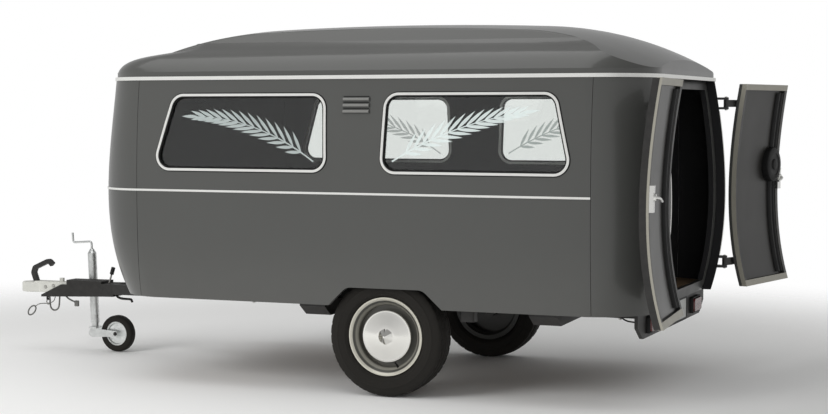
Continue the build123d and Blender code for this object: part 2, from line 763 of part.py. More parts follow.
# Drawbar: two beams that draw together into a covered nose, which ends in a wedge under the coupling
SOCKET_X = NOSE_X - HEAD_RADIUS
LINK_X = WEDGE_TIP_X - LINK_BACK
BEAM_TOP_Z = FLOOR_LOW_Z - BEAM_BELOW_FLOOR
with BuildPart() as drawbar_beams:
    for _, sign in SIDES:
        start = Vector(
            RAIL_FRONT_X - BEAM_WIDTH,
            sign * (RAIL_Y - BEAM_WIDTH / 2),
            BEAM_TOP_Z - BEAM_DEPTH / 2,
        )
        end = Vector(COVER_REAR_X + BEAM_WIDTH, sign * BEAM_NOSE_Y, start.Z - BEAM_DROP)
        run = end - start
        with BuildSketch(Plane(start, x_dir=(-run.Y, run.X, 0), z_dir=run)):
            RectangleRounded(BEAM_WIDTH, BEAM_DEPTH, BEAM_WIDTH / 9)
        extrude(amount=run.length)
    block((RAIL_FRONT_X, -REACH, 0), (COVER_REAR_X, REACH, REACH), Mode.INTERSECT)
keep("drawbar_beams", drawbar_beams.part)

with BuildPart() as drawbar_cover:
    with BuildSketch(Plane.XZ):
        with BuildLine():
            Polyline(
                (COVER_REAR_X, COVER_LOW_Z),
                (WEDGE_TIP_X, WEDGE_LOW_Z),
                (WEDGE_TIP_X, WEDGE_TIP_Z),
                (WEDGE_HEAD_X, TONGUE_Z),
                (TONGUE_REAR_X, TONGUE_Z),
                (TONGUE_REAR_X, COVER_TOP_Z),
                (COVER_STEP_X, COVER_TOP_Z),
                (COVER_STEP_X, COVER_TAIL_Z),
                (COVER_REAR_X, COVER_TAIL_Z),
                close=True,
            )
        make_face()
    extrude(amount=COVER_REAR_HALF, both=True)
    with BuildSketch(Plane.XY):
        with BuildLine():
            Polyline(
                (COVER_REAR_X, -COVER_REAR_HALF),
                (COVER_REAR_X + COVER_CHEEK, -COVER_REAR_HALF + COVER_CHEEK_IN),
                (WEDGE_TIP_X, -WEDGE_HALF),
                (WEDGE_TIP_X, WEDGE_HALF),
                (COVER_REAR_X + COVER_CHEEK, COVER_REAR_HALF - COVER_CHEEK_IN),
                (COVER_REAR_X, COVER_REAR_HALF),
                close=True,
            )
        make_face()
    extrude(amount=COVER_TOP_Z + COVER_REAR_HALF, mode=Mode.INTERSECT)
    with BuildSketch(Plane.XZ):
        with Locations((LINK_X, LINK_Z)):
            Circle(LINK_TAB_RADIUS)
        with Locations((LINK_X, WEDGE_TIP_Z)):
            Circle(LINK_TAB_RADIUS / 2)
        make_hull()
        with Locations((LINK_X, LINK_Z)):
            Circle(LINK_HOLE, mode=Mode.SUBTRACT)
    extrude(amount=LINK_TAB / 2, both=True)
keep("drawbar_cover", drawbar_cover.part)

# Ball coupling
with BuildPart() as coupling_head:
    with BuildSketch(Plane.XY.offset(HEAD_LOW_Z)):
        with Locations((SOCKET_X, 0)):
            Circle(HEAD_RADIUS)
        with Locations((SOCKET_X - NECK_REACH, 0)):
            Circle(NECK_HALF)
        make_hull()
        with Locations(((WEDGE_HEAD_X + SOCKET_X - HEAD_RADIUS) / 2, 0)):
            Rectangle(SOCKET_X - HEAD_RADIUS - WEDGE_HEAD_X, 2 * NECK_HALF)
    extrude(amount=HEAD_HEIGHT)
    block(
        (TONGUE_REAR_X + SEAM, -NECK_HALF, TONGUE_Z),
        (SOCKET_X - HEAD_RADIUS, NECK_HALF, TONGUE_Z + TONGUE_THICK),
    )
    block(
        (WEDGE_HEAD_X + LUG_X, -LUG_WIDTH / 2, TONGUE_Z),
        (WEDGE_HEAD_X + LUG_X + LUG_LENGTH, LUG_WIDTH / 2, TONGUE_Z + TONGUE_THICK + LUG_HEIGHT),
    )
    fillet(coupling_head.edges().group_by(Axis.X)[-1], HEAD_RADIUS / 5)
    with Locations((SOCKET_X, 0, HEAD_LOW_Z)):
        Cylinder(
            SOCKET_RADIUS,
            SOCKET_DEPTH,
            align=(Align.CENTER, Align.CENTER, Align.MIN),
            mode=Mode.SUBTRACT,
        )
    add(drawbar_cover.part, mode=Mode.SUBTRACT)
keep("coupling_head", coupling_head.part)

HEAD_TOP_Z = HEAD_LOW_Z + HEAD_HEIGHT
with BuildPart() as coupling_handle:
    with BuildSketch(Plane.XZ):
        with BuildLine():
            FilletPolyline(
                *[(SOCKET_X - back, HEAD_TOP_Z + up) for back, up in HANDLE_PATH],
                radius=HANDLE_BEND,
            )
        trace(line_width=HANDLE_THICK)
    extrude(amount=HANDLE_WIDTH / 2, both=True)
    block((-REACH, -REACH, 0), (REACH, REACH, HEAD_TOP_Z), Mode.SUBTRACT)
    add(coupling_head.part, mode=Mode.SUBTRACT)
keep("coupling_handle", coupling_handle.part)

with BuildPart() as safety_link:
    with Locations(Plane((LINK_X, 0, LINK_Z - LINK_SAG - LINK_RADIUS), z_dir=(1, 0, 0)).location):
        Torus(LINK_RADIUS, LINK_ROD)
keep("safety_link", safety_link.part)

LEVER_FOOT = Vector(COVER_REAR_X + LEVER_AHEAD, 0, COVER_TAIL_Z)
LEVER_RUN = Vector(-LEVER_LEAN, 0, LEVER_RISE)
with BuildPart() as parking_lever:
    with BuildSketch(Plane(LEVER_FOOT - LEVER_RUN * 0.3, z_dir=LEVER_RUN)):
        Circle(LEVER_RADIUS)
    extrude(amount=LEVER_RUN.length * 1.4)
    with BuildSketch(Plane(LEVER_FOOT + LEVER_RUN, z_dir=LEVER_RUN)):
        Circle(GRIP_RADIUS)
    extrude(amount=GRIP_LENGTH)
    add(drawbar_cover.part, mode=Mode.SUBTRACT)
keep("parking_lever", parking_lever.part)

# Screw jack: a leaning tube clamped beside the drawbar, a sliding leg, a fork and a wheel
JACK_FOOT = Vector(JACK_WHEEL_X + JACK_TRAIL, JACK_Y, JACK_WHEEL_RADIUS)
JACK_UP = Vector(sin(radians(JACK_LEAN)), 0, cos(radians(JACK_LEAN)))


def jack_plane(height):
    """Plane square to the jack's tube, so far above the height of its axle."""
    return Plane(JACK_FOOT + JACK_UP * height, x_dir=(JACK_UP.Z, 0, -JACK_UP.X), z_dir=JACK_UP)


JACK_LEG_LOW = JACK_TUBE_LOW - JACK_LEG_SHOWS
with BuildPart() as jack_tube:
    with BuildSketch(jack_plane(JACK_TUBE_LOW)):
        Circle(JACK_TUBE_RADIUS)
        Circle(JACK_LEG_RADIUS + RUNNING, mode=Mode.SUBTRACT)
    extrude(amount=JACK_TUBE_LENGTH - JACK_CAP)
    with BuildSketch(jack_plane(JACK_TUBE_LOW + JACK_TUBE_LENGTH - JACK_CAP)):
        Circle(JACK_TUBE_RADIUS)
    extrude(amount=JACK_CAP, taper=JACK_CAP_TAPER)
keep("jack_tube", jack_tube.part)

with BuildPart() as jack_leg:
    with BuildSketch(jack_plane(JACK_LEG_LOW)):
        Circle(JACK_LEG_RADIUS)
    extrude(amount=JACK_LEG_LENGTH)
    with BuildSketch(jack_plane(JACK_LEG_LOW)):
        Circle(JACK_SPIGOT_RADIUS + RUNNING)
    extrude(amount=JACK_SPIGOT_LENGTH + SEAT, mode=Mode.SUBTRACT)
keep("jack_leg", jack_leg.part)

FORK_INNER = JACK_TYRE_WIDTH / 2 + FORK_ROOM
with BuildPart() as jack_fork:
    with BuildSketch(jack_plane(JACK_LEG_LOW - SEAT)):
        RectangleRounded(2 * JACK_TUBE_RADIUS, 2 * (FORK_INNER + FORK_SHEET), FORK_SHEET)
    extrude(amount=-FORK_CROWN)
    with BuildSketch(jack_plane(JACK_LEG_LOW - SEAT)):
        Circle(JACK_SPIGOT_RADIUS)
    extrude(amount=JACK_SPIGOT_LENGTH)
    for _, sign in SIDES:
        with BuildSketch(Plane.XZ.offset(-JACK_Y - sign * FORK_INNER)):
            with Locations((JACK_FOOT.X, JACK_FOOT.Z)):
                Circle(JACK_TUBE_RADIUS)
            with Locations((JACK_WHEEL_X, JACK_WHEEL_RADIUS)):
                Circle(JACK_HUB_RADIUS)
            make_hull()
        extrude(amount=-sign * FORK_SHEET)
    with BuildSketch(Plane.XZ.offset(-JACK_Y - FORK_INNER)):
        with Locations((JACK_WHEEL_X, JACK_WHEEL_RADIUS)):
            Circle(JACK_PIN_RADIUS)
    extrude(amount=2 * FORK_INNER)
keep("jack_fork", jack_fork.part)

jack_wheel_centre = (JACK_WHEEL_X, JACK_Y, JACK_WHEEL_RADIUS)
jack_wheel_plane = Plane(jack_wheel_centre, x_dir=(0, 0, 1), z_dir=(-1, 0, 0))
jack_wheel_axis = Axis(jack_wheel_centre, (0, 1, 0))
hub_y = FORK_INNER - JACK_HUB_ROOM
disc_y = JACK_RIM_WIDTH / 4
band = JACK_RIM_RADIUS - JACK_RIM_BAND
with BuildPart() as jack_rim:
    with BuildSketch(jack_wheel_plane):
        with BuildLine():
            Polyline(
                (JACK_PIN_RADIUS + RUNNING, -hub_y),
                (JACK_HUB_RADIUS, -hub_y),
                (JACK_HUB_RADIUS + JACK_HUB_FLARE, -disc_y),
                (band - JACK_RIM_SLOPE, -disc_y),
                (band, -JACK_RIM_WIDTH / 2),
                (JACK_RIM_RADIUS, -JACK_RIM_WIDTH / 2),
                (JACK_RIM_RADIUS, JACK_RIM_WIDTH / 2),
                (band, JACK_RIM_WIDTH / 2),
                (band - JACK_RIM_SLOPE, disc_y),
                (JACK_HUB_RADIUS + JACK_HUB_FLARE, disc_y),
                (JACK_HUB_RADIUS, hub_y),
                (JACK_PIN_RADIUS + RUNNING, hub_y),
                close=True,
            )
        make_face()
    revolve(axis=jack_wheel_axis)
keep("jack_rim", jack_rim.part)

with BuildPart() as jack_tyre:
    with BuildSketch(jack_wheel_plane) as jack_tyre_section:
        with Locations(((JACK_RIM_RADIUS + SEAT + JACK_WHEEL_RADIUS) / 2, 0)):
            Rectangle(JACK_WHEEL_RADIUS - JACK_RIM_RADIUS - SEAT, JACK_TYRE_WIDTH)
        fillet(jack_tyre_section.vertices().group_by(Axis.X)[-1], JACK_TYRE_WIDTH / 3.4)
    revolve(axis=jack_wheel_axis)
keep("jack_tyre", jack_tyre.part)

CLAMP_AT = (COVER_LOW_Z + COVER_TOP_Z) / 2 - JACK_WHEEL_RADIUS - CLAMP_HEIGHT / 2
with BuildPart() as jack_clamp:
    with BuildSketch(jack_plane(CLAMP_AT)):
        Circle(JACK_TUBE_RADIUS + CLAMP_WALL)
        with Locations((0, -JACK_Y / 2)):
            Rectangle(2 * JACK_TUBE_RADIUS, -JACK_Y)
        Circle(JACK_TUBE_RADIUS + SEAT, mode=Mode.SUBTRACT)
    extrude(amount=CLAMP_HEIGHT)
    add(drawbar_cover.part, mode=Mode.SUBTRACT)
    block((-REACH, -WEDGE_HALF, 0), (REACH, REACH, REACH), Mode.SUBTRACT)
keep("jack_clamp", jack_clamp.part)

CRANK_FOOT = JACK_FOOT + JACK_UP * (JACK_TUBE_LOW + JACK_TUBE_LENGTH)
with BuildPart() as jack_crank:
    with BuildLine() as crank_path:
        FilletPolyline(
            *[CRANK_FOOT + JACK_UP * along + Vector(ahead, 0, 0) for along, ahead in CRANK_PATH],
            radius=CRANK_BEND,
        )
    with BuildSketch(Plane(CRANK_FOOT, z_dir=JACK_UP)):
        Circle(CRANK_RADIUS)
    sweep(path=crank_path.wires()[0])
keep("jack_crank", jack_crank.part)

# Rear doors, drawn shut and then swung open about their hinges
skin_layer = layer(0, DOOR_SKIN)
door_frame_layer = layer(DOOR_SKIN + SEAT, DOOR_THICK)
liner_layer = layer(DOOR_SKIN + SEAT, DOOR_SKIN + SEAT + LINER_THICK)
DOOR_EDGE_Y = DOOR_GAP
DOOR_HINGE_EDGE_Y = DOOR_SPLIT_Y - DOOR_GAP / 2
body_clear = body_form(-SEAT)
body_room = body_form(-DOOR_GAP - SEAT)

for side, sign, open_angle in (("left", 1, LEFT_DOOR_OPEN), ("right", -1, RIGHT_DOOR_OPEN)):
    hinge_axis = Axis((HINGE_X, sign * HINGE_Y, 0), (0, 0, -sign))
    low = (-REACH, sign * DOOR_EDGE_Y, DOOR_LOW_Z)
    high = (JAMB_FRONT_X, sign * DOOR_HINGE_EDGE_Y, DOOR_TOP_Z)
    rim_low = (-REACH, sign * (DOOR_EDGE_Y + DOOR_RIM), DOOR_LOW_Z + DOOR_RIM)
    rim_high = (JAMB_FRONT_X, sign * (DOOR_HINGE_EDGE_Y - DOOR_RIM), DOOR_TOP_Z - DOOR_RIM)
    liner_low = (-REACH, rim_low[1] + sign * SEAT, rim_low[2] + SEAT)
    liner_high = (JAMB_FRONT_X, rim_high[1] - sign * SEAT, rim_high[2] - SEAT)

    with BuildPart() as door_skin:
        add(skin_layer)
        block(low, high, Mode.INTERSECT)
    with BuildPart() as door_frame:
        add(door_frame_layer)
        block(low, high, Mode.INTERSECT)
        block(rim_low, rim_high, Mode.SUBTRACT)
    with BuildPart() as door_liner:
        add(liner_layer)
        block(liner_low, liner_high, Mode.INTERSECT)

    # Door leaf of each hinge, between the cheeks that the rear corner carries, clear of the post
    with BuildPart() as post_room:
        add(body_room)
        block(
            (-REACH, sign * DOOR_HINGE_EDGE_Y, 0),
            (JAMB_FRONT_X, sign * REACH, REACH),
            Mode.INTERSECT,
        )
    with BuildPart() as door_hinges:
        for height in HINGE_HEIGHTS:
            with BuildSketch(Plane.XY.offset(height - HINGE_LEAF / 2)):
                with Locations((HINGE_X, sign * HINGE_Y)):
                    Circle(HINGE_KNUCKLE_RADIUS)
                with Locations((REAR_X + DOOR_THICK, sign * (DOOR_SPLIT_Y - HINGE_LEAF_IN))):
                    Rectangle(HINGE_KNUCKLE_RADIUS, HINGE_LEAF_WIDTH)
                make_hull()
                with Locations((HINGE_X, sign * HINGE_Y)):
                    Circle(HINGE_PIN_RADIUS + RUNNING, mode=Mode.SUBTRACT)
            extrude(amount=HINGE_LEAF)
        add(body_clear, mode=Mode.SUBTRACT)
        add(post_room.part, mode=Mode.SUBTRACT)
    with BuildPart() as hinge_cheeks:
        for height in HINGE_HEIGHTS:
            for foot in (height - HINGE_LEAF / 2 - SEAT - HINGE_CHEEK, height + HINGE_LEAF / 2 + SEAT):
                with BuildSketch(Plane.XY.offset(foot)):
                    with Locations((HINGE_X, sign * HINGE_Y)):
                        Circle(HINGE_KNUCKLE_RADIUS)
                    with Locations((REAR_X + HINGE_ROOT, sign * HINGE_Y)):
                        Rectangle(HINGE_KNUCKLE_RADIUS, HINGE_CHEEK_WIDTH)
                    make_hull()
                extrude(amount=HINGE_CHEEK)
            with BuildSketch(Plane.XY.offset(height - HINGE_LEAF / 2 - SEAT)):
                with Locations((HINGE_X, sign * HINGE_Y)):
                    Circle(HINGE_PIN_RADIUS)
            extrude(amount=HINGE_LEAF + 2 * SEAT)
        add(body_clear, mode=Mode.SUBTRACT)
    keep(f"{side}_hinge_cheeks", hinge_cheeks.part)

    # Lock case on the inner face of the frame, by the free edge
    with BuildPart() as door_latch:
        add(layer(DOOR_THICK + SEAT, DOOR_THICK + LATCH_DEPTH))
        block(
            (-REACH, sign * (DOOR_EDGE_Y + LATCH_IN), LATCH_Z - LATCH_HEIGHT / 2),
            (JAMB_FRONT_X, sign * (DOOR_EDGE_Y + LATCH_IN + LATCH_WIDTH), LATCH_Z + LATCH_HEIGHT / 2),
            Mode.INTERSECT,
        )
    for name, piece in (
        ("skin", door_skin),
        ("frame", door_frame),
        ("liner", door_liner),
        ("hinges", door_hinges),
        ("latch", door_latch),
    ):
        keep(f"{side}_door_{name}", piece.part.rotate(hinge_axis, open_angle))

# Rear valance with its plate and lamps
VALANCE_REAR_X = VALANCE_X - VALANCE_THICK
VALANCE_MID_Z = (VALANCE_LOW_Z + VALANCE_TOP_Z) / 2
with BuildPart() as rear_valance:
    with BuildSketch(Plane((VALANCE_X, 0, 0), x_dir=(0, 1, 0), z_dir=(1, 0, 0))) as valance_outline:
        with BuildLine():
            Polyline(
                (-VALANCE_HALF, VALANCE_TOP_Z),
                (-VALANCE_HALF, VALANCE_MID_Z),
                (-VALANCE_HALF + VALANCE_TAPER, VALANCE_LOW_Z),
                (VALANCE_HALF - VALANCE_TAPER, VALANCE_LOW_Z),
                (VALANCE_HALF, VALANCE_MID_Z),
                (VALANCE_HALF, VALANCE_TOP_Z),
                close=True,
            )
        make_face()
        fillet(valance_outline.vertices().group_by(Axis.Y)[0], VALANCE_TAPER / 3)
    extrude(amount=-VALANCE_THICK)
keep("rear_valance", rear_valance.part)

with BuildPart() as number_plate:
    with BuildSketch(Plane((VALANCE_REAR_X, 0, VALANCE_MID_Z), x_dir=(0, -1, 0), z_dir=(-1, 0, 0))):
        RectangleRounded(PLATE_LENGTH, PLATE_HEIGHT, PLATE_HEIGHT / 12)
    extrude(amount=PLATE_THICK)
keep("number_plate", number_plate.part)

with BuildPart() as tail_lamps:
    for _, sign in SIDES:
        lamp_centre = (VALANCE_REAR_X, sign * LAMP_Y, VALANCE_MID_Z)
        lamp_plane = Plane(lamp_centre, x_dir=(0, -1, 0), z_dir=(-1, 0, 0))
        with BuildSketch(lamp_plane):
            RectangleRounded(LAMP_LENGTH, LAMP_HEIGHT, LAMP_HEIGHT / 4)
        extrude(amount=LAMP_DEPTH, taper=LAMP_TAPER)
keep("tail_lamps", tail_lamps.part)

CABLE_Y = VALANCE_HALF - VALANCE_TAPER / 3
with BuildPart() as lamp_cable:
    with BuildLine() as cable_path:
        FilletPolyline(
            *[(VALANCE_X + ahead, CABLE_Y, FLOOR_LOW_Z - below) for ahead, below in CABLE_PATH],
            radius=CABLE_BEND,
        )
    with BuildSketch(Plane(cable_path.line @ 0, z_dir=cable_path.line % 0)):
        Circle(CABLE_RADIUS)
    sweep(path=cable_path.wires()[0])
    block((-REACH, -REACH, 0), (VALANCE_X, REACH, REACH), Mode.SUBTRACT)
    block((-REACH, -REACH, FLOOR_LOW_Z), (REACH, REACH, REACH), Mode.SUBTRACT)
keep("lamp_cable", lamp_cable.part)

# Load deck on two runners, with rollers between its side rails
DECK_LOW_Z = FLOOR_TOP_Z + RUNNER_HEIGHT
DECK_TOP_Z = DECK_LOW_Z + DECK_THICK
with BuildPart() as load_deck:
    block((DECK_REAR_X, -DECK_HALF, DECK_LOW_Z), (DECK_FRONT_X, DECK_HALF, DECK_TOP_Z))
    for _, sign in SIDES:
        block(
            (DECK_REAR_X, sign * (DECK_HALF - RUNNER_WIDTH), FLOOR_TOP_Z),
            (DECK_FRONT_X, sign * DECK_HALF, DECK_LOW_Z),
        )
        block(
            (DECK_REAR_X, sign * (DECK_HALF - DECK_RAIL), DECK_TOP_Z),
            (DECK_FRONT_X, sign * DECK_HALF, DECK_TOP_Z + DECK_RAIL_HEIGHT),
        )
keep("load_deck", load_deck.part)

ROLLER_PITCH = (DECK_FRONT_X - DECK_REAR_X) / ROLLER_COUNT
with BuildPart() as deck_rollers:
    for step in range(ROLLER_COUNT):
        roller_x = DECK_REAR_X + (step + 0.5) * ROLLER_PITCH
        with BuildSketch(Plane.XZ):
            with Locations((roller_x, DECK_TOP_Z + ROLLER_RADIUS + SEAT)):
                Circle(ROLLER_RADIUS)
        extrude(amount=DECK_HALF - DECK_RAIL - SEAT, both=True)
keep("deck_rollers", deck_rollers.part)
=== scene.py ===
from math import atan2, cos, pi, radians, sin, tan

import bmesh
import bpy
from mathutils import Matrix, Vector
from mathutils.bvhtree import BVHTree


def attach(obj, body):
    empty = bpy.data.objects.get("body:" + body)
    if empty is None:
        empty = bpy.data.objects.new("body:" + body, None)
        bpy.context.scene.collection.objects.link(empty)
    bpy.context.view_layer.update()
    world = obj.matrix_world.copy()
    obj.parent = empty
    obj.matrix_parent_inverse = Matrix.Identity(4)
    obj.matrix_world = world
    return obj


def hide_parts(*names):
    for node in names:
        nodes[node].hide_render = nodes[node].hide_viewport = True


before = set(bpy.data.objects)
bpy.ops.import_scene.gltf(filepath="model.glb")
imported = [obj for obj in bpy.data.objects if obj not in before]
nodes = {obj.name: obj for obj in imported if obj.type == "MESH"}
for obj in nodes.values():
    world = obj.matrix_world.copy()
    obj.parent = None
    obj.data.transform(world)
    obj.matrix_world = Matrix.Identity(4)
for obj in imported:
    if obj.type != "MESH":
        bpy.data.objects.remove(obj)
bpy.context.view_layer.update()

# Named places on the trailer, in metres
AXLE_X = -0.509
WHEEL_Y = 0.700
TYRE_R = 0.2805
HINGE_X = AXLE_X - 1.280
HINGE_Y = 0.620
DOOR_OPEN = {"left": radians(175.0), "right": radians(168.0)}
SIDES = (("left", 1), ("right", -1))
JACK_WHEEL = Vector((AXLE_X + 1.962, -0.088, 0.100))
BODY_MIDDLE = (-0.38, 0.0, 0.95)
# Sideways: clear of the whole part, and about the body's sides
OUTSIDE_Y, SIDE_Y = 1.2, 0.8

# Corners of each window from the top of its front edge: distance ahead of the axle, height
WINDOWS = (
    ((1.084, 1.404), (0.278, 1.404), (0.269, 1.037), (1.197, 1.037)),
    ((-0.017, 1.406), (-0.835, 1.406), (-0.919, 1.035), (0.003, 1.035)),
)
WINDOW_CORNER = 0.072


# Shader nodes
def feed(tree, socket, value):
    """Link an output to an input, or set the input to a plain value."""
    if isinstance(value, bpy.types.NodeSocket):
        tree.links.new(value, socket)
    else:
        socket.default_value = value


def add_node(tree, kind, *in_order, operation=None, **by_name):
    """New node, with inputs given in order, where None leaves one as it is, or by name."""
    node = tree.nodes.new(f"ShaderNode{kind}")
    if operation:
        node.operation = operation
    for socket, value in zip(node.inputs, in_order):
        if value is not None:
            feed(tree, socket, value)
    for name, value in by_name.items():
        feed(tree, node.inputs[name], value)
    return node


def calc(tree, operation, *values, clamp=False):
    node = add_node(tree, "Math", *values, operation=operation)
    node.use_clamp = clamp
    return node.outputs[0]


def vector(tree, operation, *values):
    """Vector that an operation gives."""
    return add_node(tree, "VectorMath", *values, operation=operation).outputs["Vector"]


def measure(tree, operation, *values):
    """Number that an operation on vectors gives."""
    return add_node(tree, "VectorMath", *values, operation=operation).outputs["Value"]


def span(tree, value, from_low, from_high, to_low=0.0, to_high=1.0):
    """Value moved from one range to another."""
    return add_node(tree, "MapRange", value, from_low, from_high, to_low, to_high).outputs["Result"]


def place_in(tree):
    return add_node(tree, "TexCoord").outputs["Object"]


def axes(tree, point):
    return add_node(tree, "SeparateXYZ", point).outputs


def noise(tree, scale, detail):
    return add_node(tree, "TexNoise", Vector=place_in(tree), Scale=scale, Detail=detail).outputs["Fac"]


def blend(tree, mask, first, second):
    """Colour that runs from the first to the second with a mask."""
    mix = tree.nodes.new("ShaderNodeMix")
    mix.data_type = "RGBA"
    for socket, value in ((0, mask), (6, first), (7, second)):
        feed(tree, mix.inputs[socket], value)
    return mix.outputs[2]


# Shader groups that several finishes share
FLOAT = "NodeSocketFloat"
COLOUR = "NodeSocketColor"
VECTOR = "NodeSocketVector"


def shader_group(name, inputs, outputs):
    """Empty node group with named sockets, what it is given and what it gives."""
    group = bpy.data.node_groups.new(name, "ShaderNodeTree")
    for socket, kind, value in inputs:
        made = group.interface.new_socket(socket, in_out="INPUT", socket_type=kind)
        made.default_value = value
    for socket, kind in outputs:
        group.interface.new_socket(socket, in_out="OUTPUT", socket_type=kind)
    given = group.nodes.new("NodeGroupInput").outputs
    return group, given, group.nodes.new("NodeGroupOutput").inputs


def mottle_group():
    """Soft cloudy variation of a colour, and the same clouds as a value."""
    group, given, result = shader_group(
        "mottle",
        (("Colour", COLOUR, (0.5, 0.5, 0.5, 1)), ("Scale", FLOAT, 6.0), ("Amount", FLOAT, 0.1)),
        (("Colour", COLOUR), ("Clouds", FLOAT)),
    )
    clouds = noise(group, given["Scale"], 5)
    base = calc(group, "MULTIPLY_ADD", given["Amount"], -0.5, 1.0)
    swing = calc(group, "MULTIPLY_ADD", clouds, given["Amount"], base)
    feed(group, result["Colour"], vector(group, "SCALE", given["Colour"], None, None, swing))
    feed(group, result["Clouds"], clouds)
    return group


def wear_group():
    """Rubbed edges: a second colour where the surface turns sharply."""
    group, given, result = shader_group(
        "edge_wear",
        (
            ("Colour", COLOUR, (0.1, 0.1, 0.1, 1)),
            ("Worn", COLOUR, (0.4, 0.4, 0.4, 1)),
            ("Amount", FLOAT, 0.5),
        ),
        (("Colour", COLOUR), ("Mask", FLOAT)),
    )
    sharp = span(group, add_node(group, "NewGeometry").outputs["Pointiness"], 0.52, 0.62)
    rub = calc(group, "MULTIPLY", sharp, noise(group, 45, 6))
    mask = calc(group, "MULTIPLY", rub, given["Amount"], clamp=True)
    feed(group, result["Colour"], blend(group, mask, given["Colour"], given["Worn"]))
    feed(group, result["Mask"], mask)
    return group


def dust_group():
    """Dry road dust that thins out with height."""
    group, given, result = shader_group(
        "road_dust",
        (
            ("Colour", COLOUR, (0.1, 0.1, 0.1, 1)),
            ("Dust", COLOUR, (0.20, 0.18, 0.15, 1)),
            ("Top", FLOAT, 0.7),
            ("Amount", FLOAT, 0.3),
        ),
        (("Colour", COLOUR), ("Mask", FLOAT)),
    )
    fade = span(group, axes(group, place_in(group))["Z"], 0.0, given["Top"], 1.0, 0.0)
    speck = calc(group, "MULTIPLY", fade, noise(group, 14, 8))
    mask = calc(group, "MULTIPLY", speck, given["Amount"], clamp=True)
    feed(group, result["Colour"], blend(group, mask, given["Colour"], given["Dust"]))
    feed(group, result["Mask"], mask)
    return group


def grain_group():
    """Fine height of a surface."""
    group, given, result = shader_group("fine_grain", (("Scale", FLOAT, 300.0),), (("Height", FLOAT),))
    feed(group, result["Height"], noise(group, given["Scale"], 3))
    return group


def lining_group():
    """1 on faces that look into the body, 0 on faces that look out of it."""
    group, _, result = shader_group("lining_side", (), (("Mask", FLOAT),))
    place = add_node(group, "TexCoord").outputs
    away = vector(group, "SUBTRACT", place["Object"], BODY_MIDDLE)
    facing = measure(group, "DOT_PRODUCT", away, place["Normal"])
    feed(group, result["Mask"], calc(group, "LESS_THAN", facing, -0.02))
    return group


# Shares of the span between these two radii, and how pale the wheel is there; the dark stops are painted
# shade in the grooves and round the hubcap
RING_SPAN = (0.10, 0.20)
RING_STOPS = (
    (0.0, 0.0), (0.40, 0.16), (0.465, 0.22), (0.50, 0.50),
    (0.56, 0.50), (0.60, 0.08), (0.665, 0.06), (0.70, 1.0),
)


def shaded_rings_group():
    """Pale rings of the wheel's paint on the outer side of a pressed steel wheel, by the distance from its
    axle, with painted shade as dark rings in the grooves and round the hubcap.
    """
    group, given, result = shader_group(
        "wheel_rings_and_shade",
        (("Pale", COLOUR, (0.60, 0.58, 0.50, 1)), ("Shade", COLOUR, (0.022, 0.022, 0.019, 1))),
        (("Colour", COLOUR), ("Pale Mask", FLOAT)),
    )
    where = axes(group, place_in(group))
    level = add_node(group, "CombineXYZ", X=where["X"], Z=where["Z"]).outputs[0]
    away = measure(group, "DISTANCE", level, (AXLE_X, 0.0, TYRE_R))
    ramp = add_node(group, "ValToRGB", span(group, away, *RING_SPAN))
    points = ramp.color_ramp.elements
    points[0].position, points[1].position = RING_STOPS[0][0], RING_STOPS[-1][0]
    points[0].color = (RING_STOPS[0][1],) * 3 + (1,)
    points[1].color = (RING_STOPS[-1][1],) * 3 + (1,)
    for share, value in RING_STOPS[1:-1]:
        points.new(share).color = (value, value, value, 1)
    # Painted shade: the wheel's inner side takes the dark colour all over
    outside = calc(group, "GREATER_THAN", calc(group, "ABSOLUTE", where["Y"]), WHEEL_Y)
    pale = calc(group, "MULTIPLY", ramp.outputs["Color"], outside)
    feed(group, result["Colour"], blend(group, pale, given["Shade"], given["Pale"]))
    feed(group, result["Pale Mask"], pale)
    return group


def rim_group():
    """1 on the outer edges and on the top and bottom rims of a door frame, 0 on the rest."""
    group, given, result = shader_group(
        "door_rim", (("Centre", VECTOR, (0.0, 0.0, 0.945)),), (("Mask", FLOAT),)
    )
    place = add_node(group, "TexCoord").outputs
    away = vector(group, "SUBTRACT", place["Object"], given["Centre"])
    level = vector(group, "MULTIPLY", away, (1.0, 1.0, 0.0))
    outward = calc(group, "GREATER_THAN", measure(group, "DOT_PRODUCT", level, place["Normal"]), 0.15)
    ends = calc(group, "GREATER_THAN", calc(group, "ABSOLUTE", axes(group, away)["Z"]), 0.483)
    feed(group, result["Mask"], calc(group, "MAXIMUM", outward, ends))
    return group


def above_group():
    """1 above a height, 0 below it."""
    group, given, result = shader_group("above", (("Height", FLOAT, 0.5),), (("Mask", FLOAT),))
    height = axes(group, place_in(group))["Z"]
    feed(group, result["Mask"], calc(group, "GREATER_THAN", height, given["Height"]))
    return group


MOTTLE = mottle_group()
WEAR = wear_group()
DUST = dust_group()
GRAIN = grain_group()
LINING = lining_group()
SHADED_RINGS = shaded_rings_group()
RIM = rim_group()
ABOVE = above_group()


